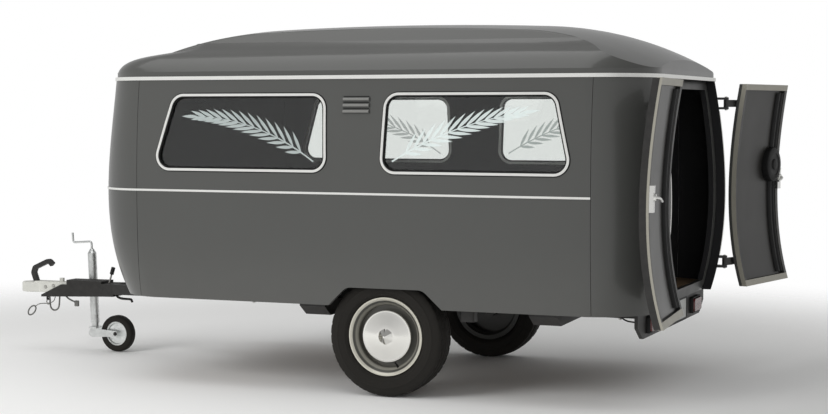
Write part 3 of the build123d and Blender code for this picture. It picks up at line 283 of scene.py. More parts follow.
class Finish:
    """One material: its Principled shader, and the colour that reaches it through groups."""

    def __init__(self, name, colour, rough, metal=0.0, coat=0.0, spec=0.5):
        self.material = bpy.data.materials.new(name)
        self.material.use_nodes = True
        self.material.diffuse_color = (*colour, 1)
        self.tree = self.material.node_tree
        self.shader = self.tree.nodes["Principled BSDF"]
        self.drive("Base Color", (*colour, 1))
        self.drive("Roughness", rough)
        self.drive("Metallic", metal)
        self.drive("Coat Weight", coat)
        self.drive("Coat Roughness", 0.06)
        self.drive("Specular IOR Level", spec)
        self.colour = None

    def drive(self, socket, value):
        feed(self.tree, self.shader.inputs[socket], value)

    def place(self, group, **values):
        """Put a shared group in the material, fed with the colour so far."""
        node = self.tree.nodes.new("ShaderNodeGroup")
        node.node_tree = group
        if "Colour" in node.inputs:
            values["Colour"] = self.colour or self.shader.inputs["Base Color"].default_value
        for socket, value in values.items():
            feed(self.tree, node.inputs[socket], value)
        if "Colour" in node.outputs:
            self.set_colour(node.outputs["Colour"])
        return node.outputs

    def set_colour(self, socket):
        self.colour = socket
        self.drive("Base Color", socket)

    def mottle(self, scale, amount):
        """Cloudy colour. Returns the clouds."""
        return self.place(MOTTLE, Scale=scale, Amount=amount)["Clouds"]

    def wear(self, worn, amount):
        self.place(WEAR, Worn=(*worn, 1), Amount=amount)

    def dust(self, top, amount, dust=(0.20, 0.18, 0.15)):
        self.place(DUST, Top=top, Amount=amount, Dust=(*dust, 1))

    def ranged(self, value, low, high):
        """Value that runs from low to high with a mask or a cloud."""
        return span(self.tree, value, 0.0, 1.0, low, high)

    def roughness(self, value, low, high):
        self.drive("Roughness", self.ranged(value, low, high))

    def grain(self, scale, strength, distance=0.001):
        self.bump(self.place(GRAIN, Scale=scale)["Height"], strength, distance)

    def bump(self, height, strength, distance=0.001):
        bump = add_node(self.tree, "Bump", Strength=strength, Distance=distance, Height=height)
        self.drive("Normal", bump.outputs["Normal"])

    def over(self, mask, colour):
        """Another colour where a mask is 1."""
        self.set_colour(blend(self.tree, mask, self.colour, (*colour, 1)))


# Finishes
def body_paint(name, lined):
    """Dark grey paint, with a dull dark lining on the faces that look into the body."""
    look = Finish(name, (0.068, 0.069, 0.065), 0.34, coat=0.35)
    clouds = look.mottle(3.0, 0.10)
    look.dust(0.75, 0.14)
    sheen = look.ranged(clouds, 0.26, 0.38)
    if lined:
        inside = look.place(LINING)["Mask"]
        look.over(inside, (0.022, 0.022, 0.023))
        sheen = calc(look.tree, "MAXIMUM", sheen, look.ranged(inside, 0.0, 0.95))
        look.drive("Coat Weight", look.ranged(inside, 0.35, 0.0))
        look.drive("Specular IOR Level", look.ranged(inside, 0.5, 0.1))
    look.drive("Roughness", sheen)
    look.grain(420.0, 0.04, 0.0005)
    return look.material


def chrome(name, rough=0.20, tone=(0.86, 0.86, 0.83), metal=1.0):
    look = Finish(name, tone, rough, metal=metal)
    look.roughness(look.mottle(18.0, 0.10), rough * 0.6, rough * 1.6)
    return look.material


def black_paint(name, tone=0.005, rough=0.48):
    look = Finish(name, (tone, tone, tone * 0.96), rough)
    clouds = look.mottle(9.0, 0.3)
    look.wear((0.05, 0.047, 0.044), 0.6)
    look.dust(0.50, 0.12, (0.10, 0.09, 0.075))
    look.roughness(clouds, rough * 0.75, rough * 1.3)
    look.grain(260.0, 0.12)
    return look.material


def tyre_rubber():
    look = Finish("tyre_rubber", (0.017, 0.0155, 0.0135), 0.75, spec=0.25)
    clouds = look.mottle(16.0, 0.35)
    look.wear((0.030, 0.027, 0.024), 0.5)
    look.roughness(clouds, 0.62, 0.85)
    look.grain(380.0, 0.2)
    return look.material


def seal_rubber():
    look = Finish("seal_rubber", (0.005, 0.005, 0.005), 0.5, spec=0.3)
    look.roughness(look.mottle(22.0, 0.4), 0.4, 0.65)
    look.grain(500.0, 0.12)
    return look.material


def galvanised():
    look = Finish("galvanised", (0.86, 0.88, 0.87), 0.38, metal=1.0)
    spangle = add_node(look.tree, "TexVoronoi", Vector=place_in(look.tree), Scale=90)
    tones = add_node(look.tree, "SeparateColor", spangle.outputs["Color"])
    look.mottle(12.0, 0.25)
    look.wear((0.35, 0.34, 0.32), 0.4)
    look.roughness(tones.outputs[0], 0.26, 0.52)
    look.grain(180.0, 0.06)
    return look.material


def cast_metal():
    look = Finish("cast_zinc", (0.74, 0.74, 0.69), 0.5, metal=0.45)
    clouds = look.mottle(30.0, 0.3)
    look.wear((0.30, 0.29, 0.27), 0.5)
    look.roughness(clouds, 0.42, 0.66)
    look.grain(240.0, 0.35)
    return look.material


def wheel_steel():
    look = Finish("wheel_steel", (0.60, 0.58, 0.50), 0.30, metal=0.25, coat=0.3)
    rings = look.place(SHADED_RINGS)
    look.mottle(20.0, 0.12)
    look.roughness(rings["Pale Mask"], 0.45, 0.26)
    look.grain(300.0, 0.05)
    return look.material


def plain(name, colour, rough, mottled=(10.0, 0.15), grain=(300.0, 0.08), metal=0.0, coat=0.0):
    look = Finish(name, colour, rough, metal=metal, coat=coat)
    look.roughness(look.mottle(*mottled), rough * 0.85, min(rough * 1.2, 1.0))
    look.grain(*grain)
    return look.material


def floor_ply():
    look = Finish("floor_ply", (0.16, 0.105, 0.06), 0.5)
    stretch = add_node(look.tree, "Mapping", Vector=place_in(look.tree), Scale=(1.2, 26.0, 8.0))
    grain = add_node(look.tree, "TexNoise", Vector=stretch.outputs[0], Scale=3.0, Detail=9).outputs["Fac"]
    look.mottle(5.0, 0.25)
    look.over(span(look.tree, grain, 0.45, 0.75), (0.09, 0.055, 0.03))
    look.roughness(grain, 0.4, 0.62)
    look.bump(grain, 0.15)
    return look.material


def clear_glass():
    look = Finish("window_clear", (0.86, 0.88, 0.865), 0.02)
    look.drive("Transmission Weight", 1.0)
    look.drive("IOR", 1.45)
    look.roughness(look.mottle(4.0, 0.05), 0.0, 0.03)
    return look.material


def frosted(name, alpha, painted_glow):
    """Etched glass: pale and partly see-through, with a painted glow for the light from behind."""
    look = Finish(name, (0.50, 0.56, 0.55), 0.6)
    look.roughness(look.mottle(40.0, 0.2), 0.5, 0.7)
    look.drive("Alpha", alpha)
    look.drive("Emission Color", (0.86, 0.92, 0.90, 1))
    look.drive("Emission Strength", painted_glow)
    return look.material


def door_frame(name, centre):
    """Black rubber-faced frame with pale alloy outer edges and rims."""
    look = Finish(name, (0.012, 0.012, 0.012), 0.42)
    clouds = look.mottle(14.0, 0.3)
    look.over(look.place(RIM, Centre=centre)["Mask"], (0.36, 0.345, 0.29))
    look.wear((0.30, 0.29, 0.26), 0.3)
    look.roughness(clouds, 0.32, 0.52)
    look.grain(320.0, 0.08)
    return look.material


def lever_steel():
    """Bright steel with a black grip at its top."""
    look = Finish("lever_steel", (0.42, 0.41, 0.39), 0.4, metal=0.4)
    clouds = look.mottle(40.0, 0.25)
    look.over(look.place(ABOVE, Height=0.4295)["Mask"], (0.012, 0.012, 0.012))
    look.roughness(clouds, 0.35, 0.55)
    look.grain(300.0, 0.1)
    return look.material


def lamp_red():
    look = Finish("lamp_red", (0.10, 0.010, 0.011), 0.16, coat=0.5)
    ribs = add_node(look.tree, "TexWave", Vector=place_in(look.tree), Scale=40)
    ribs.bands_direction = "Y"
    look.mottle(30.0, 0.3)
    look.bump(ribs.outputs["Fac"], 0.5, 0.002)
    return look.material


PAINT = body_paint("body_paint", True)
DOOR_PAINT = body_paint("door_paint", False)
CHROME = chrome("bright_trim")
STRIP = chrome("strip_alloy", 0.32, (0.88, 0.88, 0.85), 0.60)
CAP_CHROME = chrome("hubcap_chrome", 0.12, (0.88, 0.87, 0.83))
BLACK = black_paint("chassis_black")
COVER_BLACK = black_paint("drawbar_black", 0.006, 0.6)
RUBBER = tyre_rubber()
SEAL = seal_rubber()
ZINC = galvanised()
CAST = cast_metal()
WHEEL_STEEL = wheel_steel()
LEFT_FRAME = door_frame("left_door_edges", (AXLE_X - 1.330, 0.958, 0.945))
RIGHT_FRAME = door_frame("right_door_edges", (AXLE_X - 1.375, -0.950, 0.945))
LEFT_LINER = plain("left_door_board", (0.026, 0.025, 0.022), 0.34, (5.0, 0.3), (220.0, 0.02), coat=0.1)
# Painted shade: the right door's board is a darker, rougher and duller copy of the left door's board
RIGHT_LINER_SHADED = plain("right_door_board_shaded", (0.020, 0.019, 0.017), 0.42, (5.0, 0.3), (220.0, 0.02), coat=0.05)
# Paler grey for the louvre vanes' faces, a painted highlight
LOUVRE_HIGHLIGHT = plain("louvre_painted_highlight", (0.20, 0.20, 0.19), 0.4)
LEVER = lever_steel()
PLY = floor_ply()
ROLLER = plain("roller_nylon", (0.55, 0.54, 0.50), 0.45)
PLATE = plain("plate_pale", (0.46, 0.47, 0.45), 0.4, (4.0, 0.08))
LAMP_RED = lamp_red()
GLASS = clear_glass()
# Frosted fronds: see-through share and painted glow, both greater on the rear panes
FROST = {"front": frosted("frosted_front", 0.42, 0.20), "rear": frosted("frosted_rear", 0.62, 0.34)}
STEEL = plain("bright_steel", (0.56, 0.55, 0.52), 0.3, (40.0, 0.2), (300.0, 0.05), metal=1.0)
WIRE = plain("wire_steel", (0.20, 0.20, 0.19), 0.42, (60.0, 0.3), (500.0, 0.2), metal=0.8)
HINGE_BLACK = black_paint("hinge_black", 0.010, 0.36)

FINISH_OF = {
    PAINT: ("front_cap", "left_side_panel", "right_side_panel", "rear_corner_left", "rear_corner_right",
            "roof"),
    DOOR_PAINT: ("left_door_skin", "right_door_skin"),
    CHROME: ("left_door_latch", "right_door_latch"),
    STRIP: ("gutter_trim", "belt_trim", "window_trims"),
    GLASS: ("window_glass",),
    LEFT_FRAME: ("left_door_frame",),
    RIGHT_FRAME: ("right_door_frame",),
    LEFT_LINER: ("left_door_liner",),
    RIGHT_LINER_SHADED: ("right_door_liner",),
    LEVER: ("parking_lever",),
    HINGE_BLACK: ("rear_sill", "rear_header", "left_door_hinges", "right_door_hinges", "left_hinge_cheeks",
                  "right_hinge_cheeks"),
    PLY: ("floor_panel", "load_deck"),
    ROLLER: ("deck_rollers",),
    BLACK: ("wheel_boxes", "chassis_rails", "cross_members", "outriggers", "jacking_points", "axle_beam",
            "left_swing_arm", "right_swing_arm", "drawbar_beams", "rear_valance", "coupling_handle"),
    COVER_BLACK: ("drawbar_cover",),
    CAST: ("coupling_head",),
    STEEL: ("safety_link",),
    ZINC: ("jack_tube", "jack_leg", "jack_fork", "jack_rim", "jack_clamp", "jack_crank"),
    RUBBER: ("left_tyre", "right_tyre", "jack_tyre"),
    WHEEL_STEEL: ("left_rim", "right_rim"),
    CAP_CHROME: ("left_hubcap", "right_hubcap"),
    PLATE: ("number_plate",),
    LAMP_RED: ("tail_lamps",),
    SEAL: ("lamp_cable",),
}
for material, names in FINISH_OF.items():
    for name in names:
        nodes[name].data.materials.clear()
        nodes[name].data.materials.append(material)


# Mesh helpers
def add_piece(name, points, faces, material, body, smooth=True):
    mesh = bpy.data.meshes.new(name)
    mesh.from_pydata([tuple(p) for p in points], [], faces)
    mesh.validate()
    shape = bmesh.new()
    shape.from_mesh(mesh)
    bmesh.ops.recalc_face_normals(shape, faces=shape.faces)
    shape.to_mesh(mesh)
    shape.free()
    mesh.materials.append(material)
    if smooth:
        for face in mesh.polygons:
            face.use_smooth = True
    piece = bpy.data.objects.new(name, mesh)
    bpy.context.scene.collection.objects.link(piece)
    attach(piece, body)
    return piece


def ring_faces(rings, count, closed=True, start=0):
    """Faces between rings of points that follow each other: a loop, or else a bar with two filled ends."""
    faces = []
    for ring in range(rings if closed else rings - 1):
        here, there = start + ring * count, start + (ring + 1) % rings * count
        for step in range(count):
            ahead = (step + 1) % count
            faces.append((here + step, here + ahead, there + ahead, there + step))
    if not closed:
        last = start + (rings - 1) * count
        faces += [tuple(range(start, start + count))[::-1], tuple(range(last, last + count))]
    return faces


def add_tube(name, points, radius, material, body, steps=6):
    """Round bar or seal along a line of points."""
    curve = bpy.data.curves.new(name, "CURVE")
    curve.dimensions = "3D"
    curve.bevel_depth = radius
    curve.bevel_resolution = 3
    curve.resolution_u = steps
    curve.use_fill_caps = True
    line = curve.splines.new("NURBS")
    line.points.add(len(points) - 1)
    for knot, point in zip(line.points, points):
        knot.co = (*point, 1)
    line.order_u = 3
    line.use_endpoint_u = True
    curve.materials.append(material)
    piece = bpy.data.objects.new(name, curve)
    bpy.context.scene.collection.objects.link(piece)
    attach(piece, body)
    return piece


def surface_of(*names):
    """Ray target made of several nodes at rest."""
    points, faces = [], []
    for name in names:
        mesh = nodes[name].data
        start = len(points)
        points += [v.co.copy() for v in mesh.vertices]
        faces += [tuple(start + i for i in face.vertices) for face in mesh.polygons]
    return BVHTree.FromPolygons(points, faces)


def rounded_outline(corners, radius, inset, steps=10):
    """Outline with round corners, moved inwards, as points in order."""
    middle = sum(corners, Vector((0, 0))) / len(corners)
    count = len(corners)
    lines = []
    for k in range(count):
        a, b = corners[k], corners[(k + 1) % count]
        along = (b - a).normalized()
        inward = Vector((-along.y, along.x))
        if inward.dot(middle - a) < 0:
            inward = -inward
        lines.append((a + inward * inset, along))
    moved = []
    for k in range(count):
        (p, u), (q, v) = lines[k - 1], lines[k]
        cross = u.x * v.y - u.y * v.x
        t = ((q - p).x * v.y - (q - p).y * v.x) / cross
        moved.append(p + u * t)
    points = []
    for k in range(count):
        corner = moved[k]
        back = (moved[k - 1] - corner).normalized()
        ahead = (moved[(k + 1) % count] - corner).normalized()
        half = back.angle(ahead) / 2
        reach = (radius - inset) / abs(tan(half))
        centre = corner + (back + ahead).normalized() * ((radius - inset) / sin(half))
        first, last = corner + back * reach, corner + ahead * reach
        start = atan2(first.y - centre.y, first.x - centre.x)
        turn = atan2(last.y - centre.y, last.x - centre.x) - start
        turn = (turn + pi) % (2 * pi) - pi
        for step in range(steps + 1):
            angle = start + turn * step / steps
            points.append(centre + Vector((cos(angle), sin(angle))) * (radius - inset))
    return points


# Turned and bolted fittings
def turn_profile(profile, origin, axis, steps, points, faces):
    """Add a profile (radius, height along the axis) turned about an axis, closed at both ends."""
    axis = axis.normalized()
    side = axis.orthogonal().normalized()
    other = axis.cross(side)
    start = len(points)
    for radius, height in profile:
        for k in range(steps):
            angle = 2 * pi * k / steps
            points.append(origin + axis * height + (side * cos(angle) + other * sin(angle)) * radius)
    faces += ring_faces(len(profile), steps, False, start)


def crisp(piece, angle=35.0):
    """Keep the shading sharp where the surface turns."""
    split = piece.modifiers.new("edge_split", "EDGE_SPLIT")
    split.split_angle = radians(angle)
    return piece


def add_turned(name, profile, places, material, body, steps=40):
    points, faces = [], []
    for origin, axis in places:
        turn_profile(profile, origin, axis, steps, points, faces)
    return crisp(add_piece(name, points, faces, material, body))


def add_bolts(name, places, size, material, body):
    """Hexagon heads on washers."""
    washer = ((1.40 * size, -0.10 * size), (1.40 * size, 0.14 * size), (1.28 * size, 0.22 * size))
    head = ((size, 0.15 * size), (size, 0.85 * size), (0.80 * size, 1.00 * size))
    points, faces = [], []
    for origin, axis in places:
        turn_profile(washer, origin, axis, 24, points, faces)
        turn_profile(head, origin, axis, 6, points, faces)
    return crisp(add_piece(name, points, faces, material, body))


def on_face(target, start, way):
    """Where a ray meets a surface, and the surface's direction against the ray."""
    hit, normal = target.ray_cast(start, way)[:2]
    if hit is None:
        raise ValueError(f"no surface ahead of {tuple(start)}")
    return hit, -normal if normal.dot(way) > 0 else normal


def add_rear_ring(name, half, centre, section, corner):
    """Rubber ring round a fitting on the valance: its outer half sizes, and a section of (inset, depth)."""
    corners = [Vector((a * half[0], b * half[1])) for a, b in ((1, 1), (-1, 1), (-1, -1), (1, -1))]
    points = []
    for inset, depth in section:
        outline = rounded_outline(corners, corner, inset, 6)
        points += [Vector((REAR_X - depth, centre[0] + p.x, centre[1] + p.y)) for p in outline]
    faces = ring_faces(len(section), len(outline))
    return crisp(add_piece(name, points, faces, SEAL, "trailer"))


# Camera at the photograph's place
camera = bpy.data.objects.new("camera", bpy.data.cameras.new("camera"))
camera.data.lens = 75.28
camera.data.sensor_width = 36.0
camera.data.clip_end = 200
camera.location = (AXLE_X - 3.1243, 8.0780, 1.3234)
look_along = Vector((0.37685, -0.92461, -0.05554))
camera.rotation_euler = look_along.to_track_quat("-Z", "Y").to_euler()
bpy.context.scene.collection.objects.link(camera)
bpy.context.scene.camera = camera

# Window panes: black rubber on both sides of the bright frames, and a frosted frond on each pane
FRAME_WIDTH = 0.012
# Rubber sections: distance inside the frame's inner or outer edge, height off the pane or the panel
INNER_RUBBER = ((0.0002, 0.0002), (0.0002, 0.0125), (0.0030, 0.0135), (0.0070, 0.0105), (0.0090, 0.0002))
OUTER_RUBBER = (
    (-0.0002, 0.0002), (-0.0002, 0.0030), (-0.0022, 0.0036), (-0.0040, 0.0022), (-0.0045, 0.0002)
)
glass = surface_of("window_glass")


def off_side(target, x, z, sign, proud):
    """Point off the outer face of the panes or of a side panel."""
    hit = target.ray_cast(Vector((x, sign * OUTSIDE_Y, z)), Vector((0, -sign, 0)))[0]
    if hit is None:
        hit = target.find_nearest(Vector((x, sign * SIDE_Y, z)))[0]
    return Vector((x, hit.y + sign * proud, z))


def add_gasket(name, window, sign, target, section, inside):
    """Rubber along a window frame's edge, that far inside the window's outline."""
    corners = [Vector((AXLE_X + x, z)) for x, z in window]
    points = []
    for inset, proud in section:
        outline = rounded_outline(corners, WINDOW_CORNER, inside + inset)
        points += [off_side(target, p.x, p.y, sign, proud) for p in outline]
    faces = ring_faces(len(section), len(outline))
    return add_piece(name, points, faces, SEAL, "trailer")


# Fronds: foot, tip and bow of the stem on the left panes
FRONDS = (
    (Vector((AXLE_X + 0.352, 1.095)), Vector((AXLE_X + 0.986, 1.296)), 0.052),
    (Vector((AXLE_X - 0.067, 1.099)), Vector((AXLE_X - 0.703, 1.318)), 0.035),
)
LEAFLETS = 13
LEAF_WIDTH = 0.0150
TIP_LEAF = (0.090, 0.016)
# Shares of the stem: at the first leaflet, from there to the last, at the tip's leaf, below the foot
LEAVES_FROM, LEAVES_RUN = 0.09, 0.80
TIP_FROM, STEM_BELOW = 0.95, 0.02
STEM_STEPS = 14
STEM_FOOT_HALF, STEM_TAPER = 0.0038, 0.0024
# How far the frosted layer's two faces stand off the pane
FROST_FACES = (0.0003, 0.0011)
# Each side of a frond: lean of the first and last leaflet from the stem in degrees, length at both
# ends, and swell between them
LEAF_ROWS = ((33.0, 16.0, 0.108, 0.088, 0.022), (-31.0, -13.0, 0.086, 0.084, 0.034))


def leaf_outline(foot, along, length, width):
    """Points round one slender pointed leaf, foot first."""
    side = Vector((-along.y, along.x))
    steps = 8
    there = [foot + along * (length * k / steps) for k in range(steps + 1)]
    swell = [side * (sin(pi * (k / steps) ** 0.85) * width / 2) for k in range(steps + 1)]
    return [p + w for p, w in zip(there, swell)] + [there[k] - swell[k] for k in range(steps - 1, 0, -1)]


def turned(way, angle):
    return Vector((way.x * cos(angle) - way.y * sin(angle), way.x * sin(angle) + way.y * cos(angle)))


def add_frond(name, material, foot, tip, bow, sign):
    run = tip - foot
    hand = 1 if run.x > 0 else -1
    up = Vector((-run.y, run.x)).normalized() * hand

    def stem(t):
        return foot + run * t + up * (4 * bow * t * (1 - t))

    points, faces = [], []

    def put(outline):
        faces.extend(ring_faces(len(FROST_FACES), len(outline), False, len(points)))
        for proud in FROST_FACES:
            points.extend(off_side(glass, p.x, p.y, sign, proud) for p in outline)

    for first, last, foot_size, tip_size, swell in LEAF_ROWS:
        for k in range(LEAFLETS):
            share = k / (LEAFLETS - 1)
            t = LEAVES_FROM + LEAVES_RUN * share
            ahead = (stem(t + 0.03) - stem(t - 0.03)).normalized()
            lean = radians(first + (last - first) * share) * hand
            size = foot_size + (tip_size - foot_size) * share + swell * sin(pi * share)
            put(leaf_outline(stem(t), turned(ahead, lean), size, LEAF_WIDTH))
    put(leaf_outline(stem(TIP_FROM), (stem(1) - stem(TIP_FROM)).normalized(), *TIP_LEAF))
    for k in range(STEM_STEPS):
        shares = k / STEM_STEPS, (k + 1) / STEM_STEPS
        a, b = (stem(share - STEM_BELOW) for share in shares)
        wide_a, wide_b = (STEM_FOOT_HALF - STEM_TAPER * share for share in shares)
        side = Vector((-(b - a).y, (b - a).x)).normalized()
        put([a - side * wide_a, b - side * wide_b, b + side * wide_b, a + side * wide_a])
    return add_piece(name, points, faces, material, "trailer", smooth=False)


for side, sign in SIDES:
    panel = surface_of(f"{side}_side_panel")
    for k, (place, window) in enumerate(zip(("front", "rear"), WINDOWS)):
        add_gasket(f"{side}_{place}_gasket", window, sign, glass, INNER_RUBBER, FRAME_WIDTH)
        add_gasket(f"{side}_{place}_lip", window, sign, panel, OUTER_RUBBER, 0.0)
        add_frond(f"{side}_{place}_frond", FROST[place], *FRONDS[k], sign)

# Tyres with tread blocks and sidewall ribs, in place of the plain solids
TREAD_STEPS = 216
TREAD_SHOULDER, TREAD_BLOCKS = 1, 2
# Grooves across the tread: steps from one to the next, and depth
SHOULDER_EVERY, SHOULDER_CUT = 6, 0.0024
BLOCKS_EVERY, BLOCKS_CUT = 9, 0.0036
# Half of a tyre's section from the bead to the middle: radius, distance from the middle, kind of surface
TYRE_HALF = (
    (0.1675, 0.0535, 0), (0.1835, 0.0540, 0), (0.1880, 0.0640, 0), (0.1950, 0.0715, 0),
    (0.2010, 0.0752, 0), (0.2025, 0.0768, 0), (0.2040, 0.0762, 0), (0.2120, 0.0795, 0),
    (0.2240, 0.0815, 0), (0.2330, 0.0813, 0), (0.2345, 0.0826, 0), (0.2375, 0.0824, 0),
    (0.2390, 0.0808, 0), (0.2480, 0.0788, 0), (0.2560, 0.0762, 0), (0.2640, 0.0732, 1),
    (0.2690, 0.0705, 1), (0.2740, 0.0665, 1), (0.2760, 0.0630, 1), (0.2768, 0.0520, 1),
    (0.2772, 0.0455, 1), (0.2700, 0.0445, 0), (0.2700, 0.0385, 0), (0.2785, 0.0375, 2),
    (0.2790, 0.0200, 2), (0.2792, 0.0170, 2), (0.2718, 0.0160, 0), (0.2718, 0.0105, 0),
    (0.2802, 0.0095, 0), (0.2804, 0.0030, 0),
)
# Hubcap's section: radius, distance out of the wheel's middle, and how far it is six-sided
HUBCAP = (
    (0.1130, 0.0065, 0), (0.1150, 0.0300, 0), (0.1175, 0.0415, 0), (0.1205, 0.0440, 0),
    (0.1210, 0.0465, 0), (0.1195, 0.0490, 0), (0.1170, 0.0496, 0), (0.1140, 0.0488, 0),
    (0.1120, 0.0490, 0), (0.0950, 0.0522, 0), (0.0750, 0.0560, 0), (0.0570, 0.0594, 0),
    (0.0440, 0.0612, 0), (0.0400, 0.0614, 0), (0.0370, 0.0616, 0.35), (0.0340, 0.0650, 1),
    (0.0050, 0.0830, 1),
)
HUBCAP_STEPS = 96


def at_wheel(sign, out, radius, angle):
    """Point by its distance out of a wheel's middle, its radius and its angle from the top."""
    return Vector((AXLE_X + radius * sin(angle), sign * WHEEL_Y + out, TYRE_R + radius * cos(angle)))


def add_tyre(side, sign):
    profile = TYRE_HALF + tuple((radius, -across, kind) for radius, across, kind in reversed(TYRE_HALF))
    points = []
    for radius, across, kind in profile:
        for step in range(TREAD_STEPS):
            cut = 0.0
            if kind == TREAD_SHOULDER and step % SHOULDER_EVERY == 0:
                cut = SHOULDER_CUT
            if kind == TREAD_BLOCKS and (step + (3 if across > 0 else 6)) % BLOCKS_EVERY == 0:
                cut = BLOCKS_CUT
            points.append(at_wheel(sign, across, radius - cut, 2 * pi * step / TREAD_STEPS))
    faces = ring_faces(len(profile), TREAD_STEPS)
    tyre = add_piece(f"{side}_road_tyre", points, faces, RUBBER, f"{side}_wheel")
    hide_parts(f"{side}_tyre")


def add_hubcap(side, sign):
    """Shallow bright disc with a rolled edge and a pointed six-sided boss."""
    points = []
    for radius, out, sided in HUBCAP:
        for k in range(HUBCAP_STEPS):
            turn = 2 * pi * k / HUBCAP_STEPS
            flat = cos(pi / 6) / cos(turn % (pi / 3) - pi / 6)
            points.append(at_wheel(sign, sign * out, radius * (1 - sided + flat * sided), turn))
    faces = ring_faces(len(HUBCAP), HUBCAP_STEPS, closed=False)
    cap = add_piece(f"{side}_bright_hubcap", points, faces, CAP_CHROME, f"{side}_wheel")
    crisp(cap, 24.0)
    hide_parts(f"{side}_hubcap")


VALVE_R, VALVE_ANGLE = 0.150, 3.5
VALVE = (
    (0.0062, -0.001), (0.0055, 0.004), (0.0052, 0.013), (0.0036, 0.015), (0.0036, 0.022),
    (0.0046, 0.0225), (0.0046, 0.0290), (0.0030, 0.0300),
)
for side, sign in SIDES:
    add_tyre(side, sign)
    add_hubcap(side, sign)
    start = at_wheel(sign, sign * (OUTSIDE_Y - WHEEL_Y), VALVE_R, VALVE_ANGLE)
    foot = on_face(surface_of(f"{side}_rim"), start, Vector((0, -sign, 0)))
    add_turned(f"{side}_valve", VALVE, [foot], SEAL, f"{side}_wheel", 20)


# Louvres: a rounded face on each vane in paler grey as a painted highlight, and a black strip above it as
# the slit's painted shade
VANES_Z = (1.312, 1.340, 1.368)
VANE_HEIGHT = 0.018
VANE_STATIONS = [AXLE_X + 0.060 + 0.129 * k / 6 for k in range(7)]
# Sections: height above the vane's lower edge, distance off the surface
HIGHLIGHT_SECTION = ((0.0030, 0.0002), (0.0045, 0.0018), (0.0085, 0.0027), (0.0125, 0.0018), (0.0140, 0.0002))
SLIT_SHADE_SECTION = tuple((VANE_HEIGHT + rise, out) for rise, out in (
    (0.0006, 0.0001), (0.0006, 0.0009), (0.0046, 0.0009), (0.0046, 0.0001)
))


def add_louvre_bars(name, panel, sign, section, material):
    """One bar along each vane, fitted to the side panel."""
    points, faces = [], []
    for low in VANES_Z:
        faces += ring_faces(len(VANE_STATIONS), len(section), False, len(points))
        for x in VANE_STATIONS:
            points += [off_side(panel, x, low + rise, sign, out) for rise, out in section]
    return crisp(add_piece(name, points, faces, material, "trailer"))


for side, sign in SIDES:
    panel = surface_of(f"{side}_side_panel")
    add_louvre_bars(f"{side}_louvre_highlights", panel, sign, HIGHLIGHT_SECTION, LOUVRE_HIGHLIGHT)
    add_louvre_bars(f"{side}_louvre_slit_shade", panel, sign, SLIT_SHADE_SECTION, SEAL)


# Doors: rubber rolls, bright latch levers and a round lock cover
ROLL_LOW_Z, ROLL_LENGTH = 0.475, 0.940
ROLL_HEIGHT, ROLL_CLEAR = 0.0165, 0.0003
# How far off the hinges the rays start that find a door's faces
PROBE = 0.5


class Door:
    """Places on one rear door, named as if it were shut."""

    def __init__(self, side, sign):
        self.side, self.sign = side, sign
        hinge = Vector((HINGE_X, sign * HINGE_Y, 0))
        swing = Matrix.Rotation(-sign * DOOR_OPEN[side], 4, "Z")
        self.turn = Matrix.Translation(hinge) @ swing @ Matrix.Translation(-hinge)
        self.inward = swing.to_3x3() @ Vector((1, 0, 0))
        self.outer_way = swing.to_3x3() @ Vector((0, sign, 0))
        self.inner = surface_of(f"{side}_door_liner", f"{side}_door_frame")

    def at(self, across, z, lift=0.0):
        """Point off the inner side, by the distance from the middle of the doorway and the height."""
        start = self.turn @ Vector((HINGE_X + PROBE, self.sign * across, z))
        return on_face(self.inner, start, -self.inward)[0] + self.inward * lift


def add_roll(name, door, across, half):
    """Half-round rubber that runs up the inner side of a door."""
    levels, arc = 36, 10
    points = []
    for k in range(levels + 1):
        for j in range(arc + 1):
            angle = pi * j / arc
            lift = ROLL_CLEAR + ROLL_HEIGHT * sin(angle)
            z = ROLL_LOW_Z + ROLL_LENGTH * k / levels
            points.append(door.at(across + half * cos(angle), z, lift))
    faces = ring_faces(levels + 1, arc + 1, closed=False)
    return crisp(add_piece(name, points, faces, SEAL, f"{door.side}_door"), 50.0)


doors = {side: Door(side, sign) for side, sign in SIDES}
# Distance from the middle of the doorway, and half width
ROLLS = {"left": ((0.508, 0.0150), (0.470, 0.0190)), "right": ((0.0515, 0.0150), (0.090, 0.0190))}
for side, places in ROLLS.items():
    for k, (across, half) in enumerate(places):
        add_roll(f"{side}_door_roll_{k}", doors[side], across, half)

# Knob's place: distance from the middle of the doorway, height, distance off the door
KNOB_PLACE = (0.027, 0.972, 0.0175)
KNOB = ((0.0165, 0.0), (0.0165, 0.005), (0.0135, 0.010), (0.004, 0.0115))
# Latch lever from its knob: distance off the door, towards the hinge, up
LATCH_LEVER = (
    (0.004, 0.0, 0.0), (0.018, 0.003, -0.001), (0.024, 0.022, -0.008), (0.022, 0.048, -0.016),
    (0.022, 0.066, -0.019),
)
LEVER_R = 0.0062
for side, door in doors.items():
    knob = door.at(*KNOB_PLACE)
    add_turned(f"{side}_latch_knob", KNOB, [(knob, door.inward)], CHROME, f"{side}_door")
    lever = [
        knob + door.inward * out + door.outer_way * along + Vector((0, 0, up))
        for out, along, up in LATCH_LEVER
    ]
    add_tube(f"{side}_latch_lever", lever, LEVER_R, CHROME, f"{side}_door", 8)

LOCK_COVER = (
    (0.0900, -0.003), (0.0905, 0.026), (0.0880, 0.033), (0.0820, 0.0365), (0.0600, 0.0380),
    (0.0570, 0.0345), (0.0300, 0.0345), (0.0275, 0.0395), (0.0240, 0.0415), (0.0040, 0.0420),
)
COVER_PLACE, COVER_SHIFT = (0.130, 1.040), 0.030
cover_middle = doors["right"].at(*COVER_PLACE) - doors["right"].outer_way * COVER_SHIFT
add_turned(
    "right_lock_cover", LOCK_COVER, [(cover_middle, doors["right"].inward)],
    SEAL, "right_door", 64,
)


# Black strip over the outer half of the left door's free edge as painted shade, and bright lips beside the
# doorway
EDGE_LOW_Z, EDGE_LENGTH = 0.434, 1.022
# Free edge from the middle of the doorway, and how far inside it the skin is probed
EDGE_Y, EDGE_IN = 0.005, 0.003
